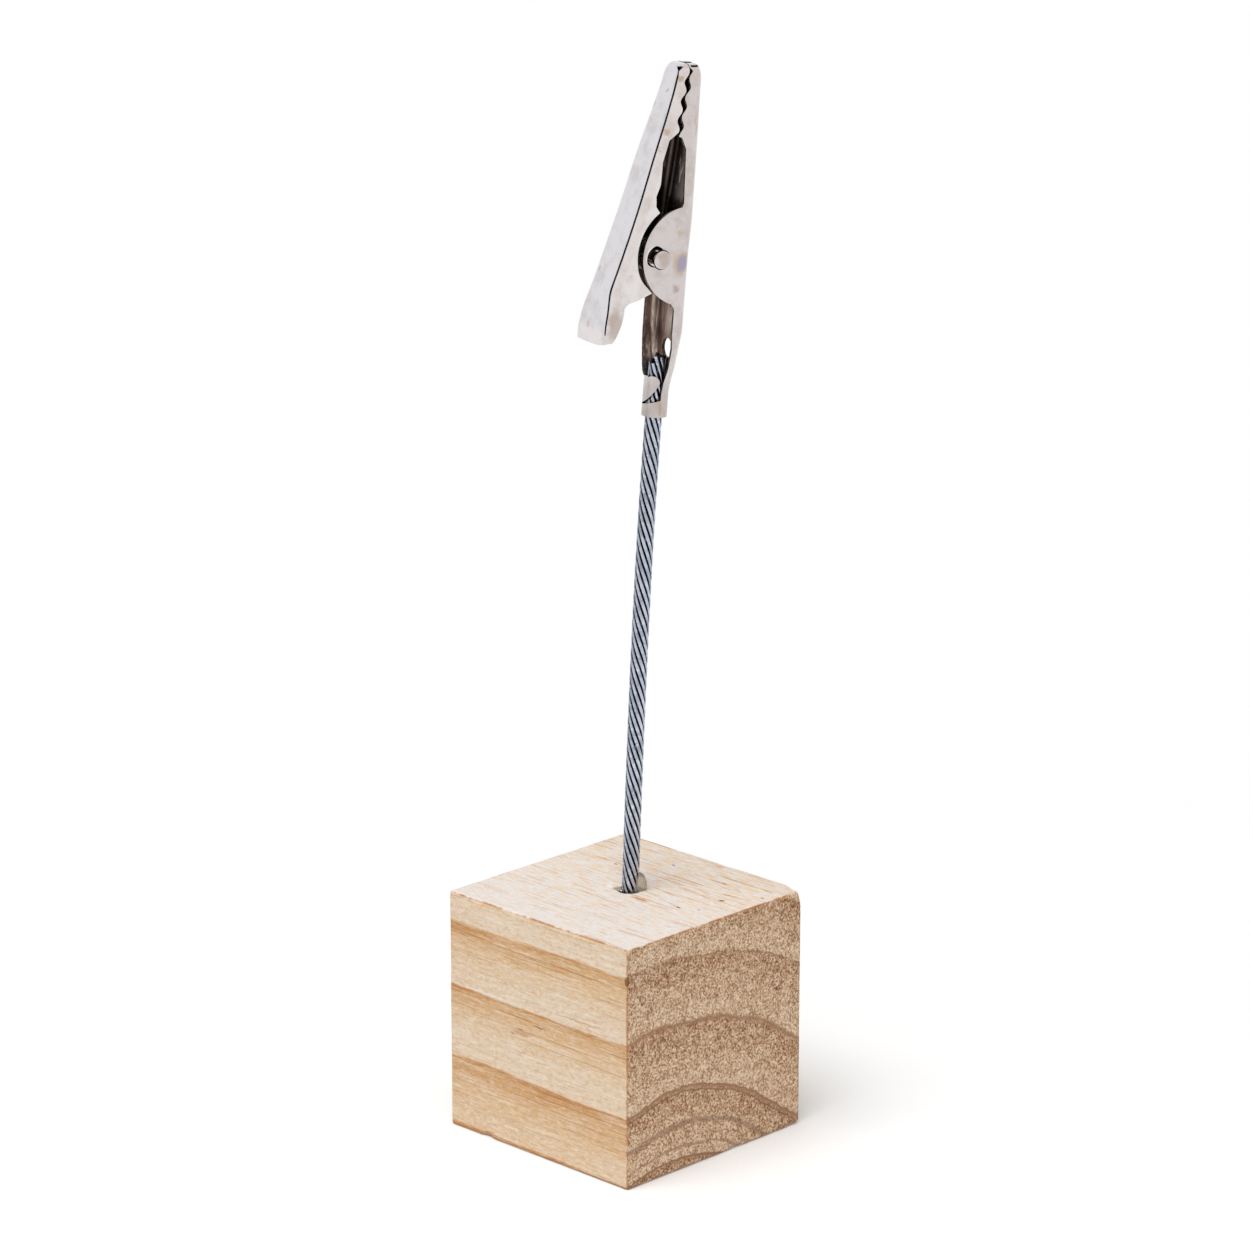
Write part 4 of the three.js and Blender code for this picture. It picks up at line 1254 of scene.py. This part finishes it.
movingForm = dict(
    earHalf=2.58, earRadius=1.95, earFrom=-62, earTo=248, holePlay=0.43, holeStep=7.5, noseTop=18.6,
    slotRadius=5.28, slotFrom=53, slotTurn=-15, slotEnd=-43, slotSteps=8, toothEntry=12.2,
    curlRise=1.6, curlBack=0.6, curlHalf=1.15, curlCorner=0.65,
    handleBack=5.78, kneeBack=5.52, handleHalf=2.85, handleEnd=-8.6, endNear=0.46, endFar=0.1, endOver=3.0,
    endFrom=3.4, twistFrom=-2.9, twistOver=2.8, sunk=0.25, twist=0.22, sunkFrom=3.5, sunkOver=1.2,
    notchBearing=65, notchDepth=0.3,
)
movingLipRows = ((0.73, 5.04), (0.8, 6.09), (0.41, 7.14), (0.31, 9.36), (-0.27, 11.45))  # x and z
movingBelly = [(-0.15, -2.85), (0.5, -3.35), (2.22, -4.1)]
movingKnee = [(2.22, -4.1), (3.0, -4.25), (3.45, -4.5), (3.5, -4.9)]
handleEdge = [(3.5, -4.9), (3.6, -6.1), (4.55, -7.4)]
cornerNotch = (  # place at the moving nose's bend and half width, at its lower point and at its top
    ((-1.28, 1.24, 17.97), 0.06), ((-1.48, 1.03, 18.36), 0.38),
)


def movingStations():  # height, back, half width, bend radius
    form = movingForm
    ear, handle, half, end = form["earHalf"], form["handleBack"], form["handleHalf"], form["handleEnd"]
    tip, bend = fixedForm["noseHalf"], jaws["bend"]
    return [
        (end, handle - 0.08, half, 0.6), (end + 1.1, handle - 0.04, half, 0.66),
        (-6.4, handle - 0.14, half, 0.86), (-5.3, form["kneeBack"] - 0.07, half - 0.06, 0.92),
        (-4.3, 5.17, ear + 0.1, 0.96), (-2.9, 4.75, ear, bend), (0.0, 3.83, ear, bend),
        (4.8, 2.4, ear - 0.06, bend), (9.9, 1.03, tip + 0.44, bend), (14.9, -0.42, tip + 0.19, bend),
        (17.15, -0.97, tip + 0.08, bend), (form["noseTop"], -1.15, tip + 0.08, bend),
    ]


def movingLip(z):
    entry, tip = movingForm["toothEntry"], movingForm["noseTop"]
    lastHere = lastTooth + jaws["toothShift"]
    if z < entry:
        return chainAt((*movingLipRows, (toothX(entry, 1), entry)), z)
    if z < lastHere:
        return toothX(z, 1)
    return chainAt([(toothX(lastHere, 1), lastHere), (-2.24, tip - 0.4), (-2.3, tip)], z)


def crescentSlot():  # follows the fixed jaw's ear and closes towards the lower edge
    form = movingForm
    x, z, wide, steps = fixedForm["earX"], fixedForm["earZ"], form["slotRadius"], form["slotSteps"]
    slot = arc(x, z, wide, form["slotFrom"], form["slotTurn"])
    for i in range(1, steps + 1):
        a = radians(form["slotTurn"] + (form["slotEnd"] - form["slotTurn"]) * i / steps)
        reach = wide + (fixedForm["earRadius"] - wide) * (i / steps) ** 2
        slot.append((x + reach * cos(a), z + reach * sin(a)))
    return slot


def movingWall(channel, rows):
    form = movingForm
    slot = crescentSlot()
    ear = arc(0, 0, form["earRadius"], form["earFrom"], form["earTo"])
    loop = channel.wallStart(rows)
    handleFoot = loop[0]
    loop += spread([loop[-1], movingLipRows[1], movingLipRows[0], slot[0]]) + slot[1:]
    loop += spread([slot[-1], ear[0]]) + ear[1:] + spread([ear[-1]] + movingBelly)
    return loop + bezier(movingKnee, 6) + bezier(handleEdge + [handleFoot], 16)[:-1]


def shapeHandle(shape):  # the handle's end is sunk and twisted a little, and rounded at its corners
    form = movingForm
    for vert in shape.verts:
        low = clamp((form["twistFrom"] - vert.co.z) / form["twistOver"])
        reach = clamp((vert.co.x - form["sunkFrom"]) / form["sunkOver"])
        side = vert.co.y / form["handleHalf"]
        vert.co.x -= (form["sunk"] + form["twist"] * side) * low * low * (3 - 2 * low) * reach
        near = max(0.0, 1 - (vert.co.z - form["handleEnd"]) / form["endOver"])
        if vert.co.x > form["endFrom"] and near > 0:
            vert.co.z += form["endNear" if side > 0 else "endFar"] * near ** 2 * abs(side) ** 3


def movingCutter():  # the notch at the nose's near corner
    shape = bmesh.new()
    bearing = radians(movingForm["notchBearing"])
    outward = Vector((sin(bearing), cos(bearing), 0))
    along = Vector((-outward.y, outward.x, 0))
    deep = outward * movingForm["notchDepth"]
    corners = []
    for place, half in cornerNotch:
        for step in (along * half + deep, along * half - deep):
            corners += [Vector(place) + step, Vector(place) + step - 2 * along * half]
    bmesh.ops.convex_hull(shape, input=[shape.verts.new(corner) for corner in corners])
    bmesh.ops.recalc_face_normals(shape, faces=shape.faces)
    return shape


def movingJaw():
    form = movingForm
    shape = bmesh.new()
    channel = Channel(-1, form, movingStations(), movingLip)
    rows = channelSheet(shape, channel, form["handleEnd"])
    hole = arc(0, 0, pinForm["radius"] + form["holePlay"], 0, 360, form["holeStep"])[:-1]
    loop = movingWall(channel, rows)
    for side in (1, -1):
        wallFaces(shape, loop, hole, channel.half, side)
    shapeHandle(shape)
    thicken("movingJaw", shape, channel, nickelMoving, movingCutter(), "jaw", "moving_jaw")


movingJaw()


# Pivot pin with crowned ends

def pivotPin():
    form = pinForm
    steps, corner = form["steps"], form["corner"]
    flat = form["radius"] - corner
    shoulder = form["halfLength"] - form["crown"]
    profile = [(0.0, form["halfLength"])]
    for i in range(1, steps + 1):
        profile.append((flat * (i / steps), form["halfLength"] - form["crown"] * (i / steps) ** 2))
    for i in range(1, steps + 1):
        a = pi / 2 * i / steps
        profile.append((flat + corner * sin(a), shoulder - corner * (1 - cos(a))))
    profile += [(r, -y) for r, y in reversed(profile)]
    shape = bmesh.new()
    rings = []
    for r, y in profile:
        angles = turnAngles(form["sides"]) if r > 0 else [0.0]
        rings.append([shape.verts.new((r * cos(a), y, r * sin(a))) for a in angles])
    ringFaces(shape, rings)
    bmesh.ops.recalc_face_normals(shape, faces=shape.faces)
    bmesh.ops.transform(shape, matrix=clipMatrix, verts=shape.verts)
    piece = newPiece("pivotPin", shape, nickelFixed)
    shadeSmooth(piece, sharpFrom=40)
    standFor(piece, "base", "nickel", "pivot_pin")


pivotPin()


# Torsion spring: coils round the pin, one leg on the tail's back and one on the handle's

spring = dict(
    wireRadius=0.22, coilRadius=1.34, pitch=0.92, coilStart=162, sweep=1196, steps=160, sides=12,
    tailPlay=0.1, tailLeg=((0.0, -5.0), (0.13, -4.2)),
    handlePlay=0.2, handleLeg=((-0.33, -4.6), (0.0, -5.4)),
)


def springPath():
    halfWidth = spring["pitch"] * spring["sweep"] / 720
    tailX = fixedForm["tailBack"] + jaws["sheet"] + spring["tailPlay"] + spring["wireRadius"]
    sunk = movingForm["sunk"] + movingForm["twist"]
    handleX = movingForm["kneeBack"] - sunk - jaws["sheet"] - spring["handlePlay"] - spring["wireRadius"]
    path = [(tailX + x, -halfWidth, z) for x, z in spring["tailLeg"]]
    for i in range(spring["steps"] + 1):
        a = radians(spring["coilStart"] - spring["sweep"] * i / spring["steps"])
        y = halfWidth * (2 * i / spring["steps"] - 1)
        path.append((spring["coilRadius"] * cos(a), y, spring["coilRadius"] * sin(a)))
    return path + [(handleX + x, halfWidth, z) for x, z in spring["handleLeg"]], halfWidth


def torsionSpring():
    path, halfWidth = springPath()
    tree, sockets, given, line = newTree("windSpring", ())
    closeTree(tree, given, sweepWire(tree, given, line))
    values = {"Wire Radius": spring["wireRadius"] * mm, "Sides": spring["sides"], "Material": springSteel}
    piece = sweptPiece("torsionSpring", [clipMatrix @ Vector(p) for p in path], tree, sockets, values)
    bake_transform(piece)
    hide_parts("torsion_spring")
    print("piece:", piece.name, len(piece.data.polygons), "faces")


torsionSpring()


# Floor, soft light and a white surround

studio = dict(
    floorHalf=1.5, floorDrop=0.00002, floorTone=grey(0.9), floorLift=0.12, whiteFrom=0.05, whiteTo=0.16,
    skyLight=0.45, keyPower=6.4, keySize=0.7, keyFrom=(0.05, -0.4, 0.95), keyDistance=0.9,
    keyAim=(0, 0, 0.05), stripTurn=-119.4, stripWidth=24.0, leanFrom=25.0, lean=1.1,
    warm=tone(250, 246, 243), cool=tone(248, 250, 255),
)


def glow(tree, kind, colour, strength):
    return addNode(tree, kind, {"Color": colour, "Strength": strength}).outputs[0]


def mixShader(tree, share, first, second):
    return addNode(tree, "ShaderNodeMixShader", {0: share, 1: first, 2: second}).outputs[0]


def rayKinds(tree):  # whether a ray comes from the camera, and whether from a mirror or through glass
    rays = addNode(tree, "ShaderNodeLightPath").outputs
    return rays["Is Camera Ray"], calc(tree, "MAXIMUM", rays["Is Glossy Ray"], rays["Is Transmission Ray"])


def darkStrip(tree, way):  # the metal mirrors it; it leans over, so its image runs straight up a bend
    turn = radians(studio["stripTurn"])
    ahead = calc(tree, "ADD", times(tree, way[0], cos(turn)), times(tree, way[1], sin(turn)))
    across = calc(tree, "SUBTRACT", times(tree, way[1], cos(turn)), times(tree, way[0], sin(turn)))
    above = calc(tree, "SUBTRACT", calc(tree, "ARCSINE", way[2]), radians(studio["leanFrom"]))
    bearing = calc(tree, "ARCTAN2", across, ahead)
    aside = linear(tree, calc(tree, "MAXIMUM", above, 0.0), studio["lean"], bearing)
    half = radians(studio["stripWidth"]) / 2
    return fade(tree, calc(tree, "ABSOLUTE", aside), half * 1.1, half * 0.85)


def layFloor():  # pale under the block, white further out where it is seen
    shape = bmesh.new()
    bmesh.ops.create_grid(shape, x_segments=1, y_segments=1, size=studio["floorHalf"])
    bmesh.ops.translate(shape, vec=(0, 0, -studio["floorDrop"]), verts=shape.verts)
    material = bpy.data.materials.new("paleFloor")
    material.use_nodes = True
    tree = material.node_tree
    tree.nodes.clear()
    away = vector(tree, "LENGTH", addNode(tree, "ShaderNodeTexCoord").outputs["Object"])
    direct, bounced = rayKinds(tree)
    seen = calc(tree, "MAXIMUM", direct, bounced)
    matt = addNode(tree, "ShaderNodeBsdfDiffuse", {"Color": studio["floorTone"]}).outputs[0]
    lift = glow(tree, "ShaderNodeEmission", grey(1.0), times(tree, seen, studio["floorLift"]))
    lifted = addNode(tree, "ShaderNodeAddShader", {0: matt, 1: lift}).outputs[0]
    white = glow(tree, "ShaderNodeEmission", grey(1.0), 1.0)
    far = times(tree, seen, fade(tree, away, studio["whiteFrom"], studio["whiteTo"]))
    addNode(tree, "ShaderNodeOutputMaterial", {0: mixShader(tree, far, lifted, white)})
    floor = newPiece("paleFloor", shape, material)


def lightStudio():
    world = bpy.data.worlds.new("softStudio")
    bpy.context.scene.world = world
    world.use_nodes = True
    tree = world.node_tree
    tree.nodes.clear()
    direct, bounced = rayKinds(tree)
    way = parts(tree, addNode(tree, "ShaderNodeTexCoord").outputs["Generated"])
    tint = mixTone(tree, fade(tree, way[0], -0.6, 0.6), studio["cool"], studio["warm"])
    tint = mixTone(tree, darkStrip(tree, way), tint, grey(0.0))
    soft = glow(tree, "ShaderNodeBackground", grey(1.0), studio["skyLight"])
    shown = glow(tree, "ShaderNodeBackground", grey(1.0), 1.0)
    tent = glow(tree, "ShaderNodeBackground", tint, 1.0)
    lit = mixShader(tree, bounced, soft, tent)
    addNode(tree, "ShaderNodeOutputWorld", {0: mixShader(tree, direct, lit, shown)})
    lamp = bpy.data.lights.new("softKey", "AREA")
    lamp.shape = "DISK"
    lamp.size = studio["keySize"]
    lamp.energy = studio["keyPower"]
    key = bpy.data.objects.new("softKey", lamp)
    aim = Vector(studio["keyFrom"]).normalized()
    key.location = Vector(studio["keyAim"]) + aim * studio["keyDistance"]
    key.rotation_euler = aim.to_track_quat("Z", "Y").to_euler()
    key.visible_camera = False
    key.visible_glossy = False
    bpy.context.scene.collection.objects.link(key)


layFloor()
lightStudio()
print("studio done")
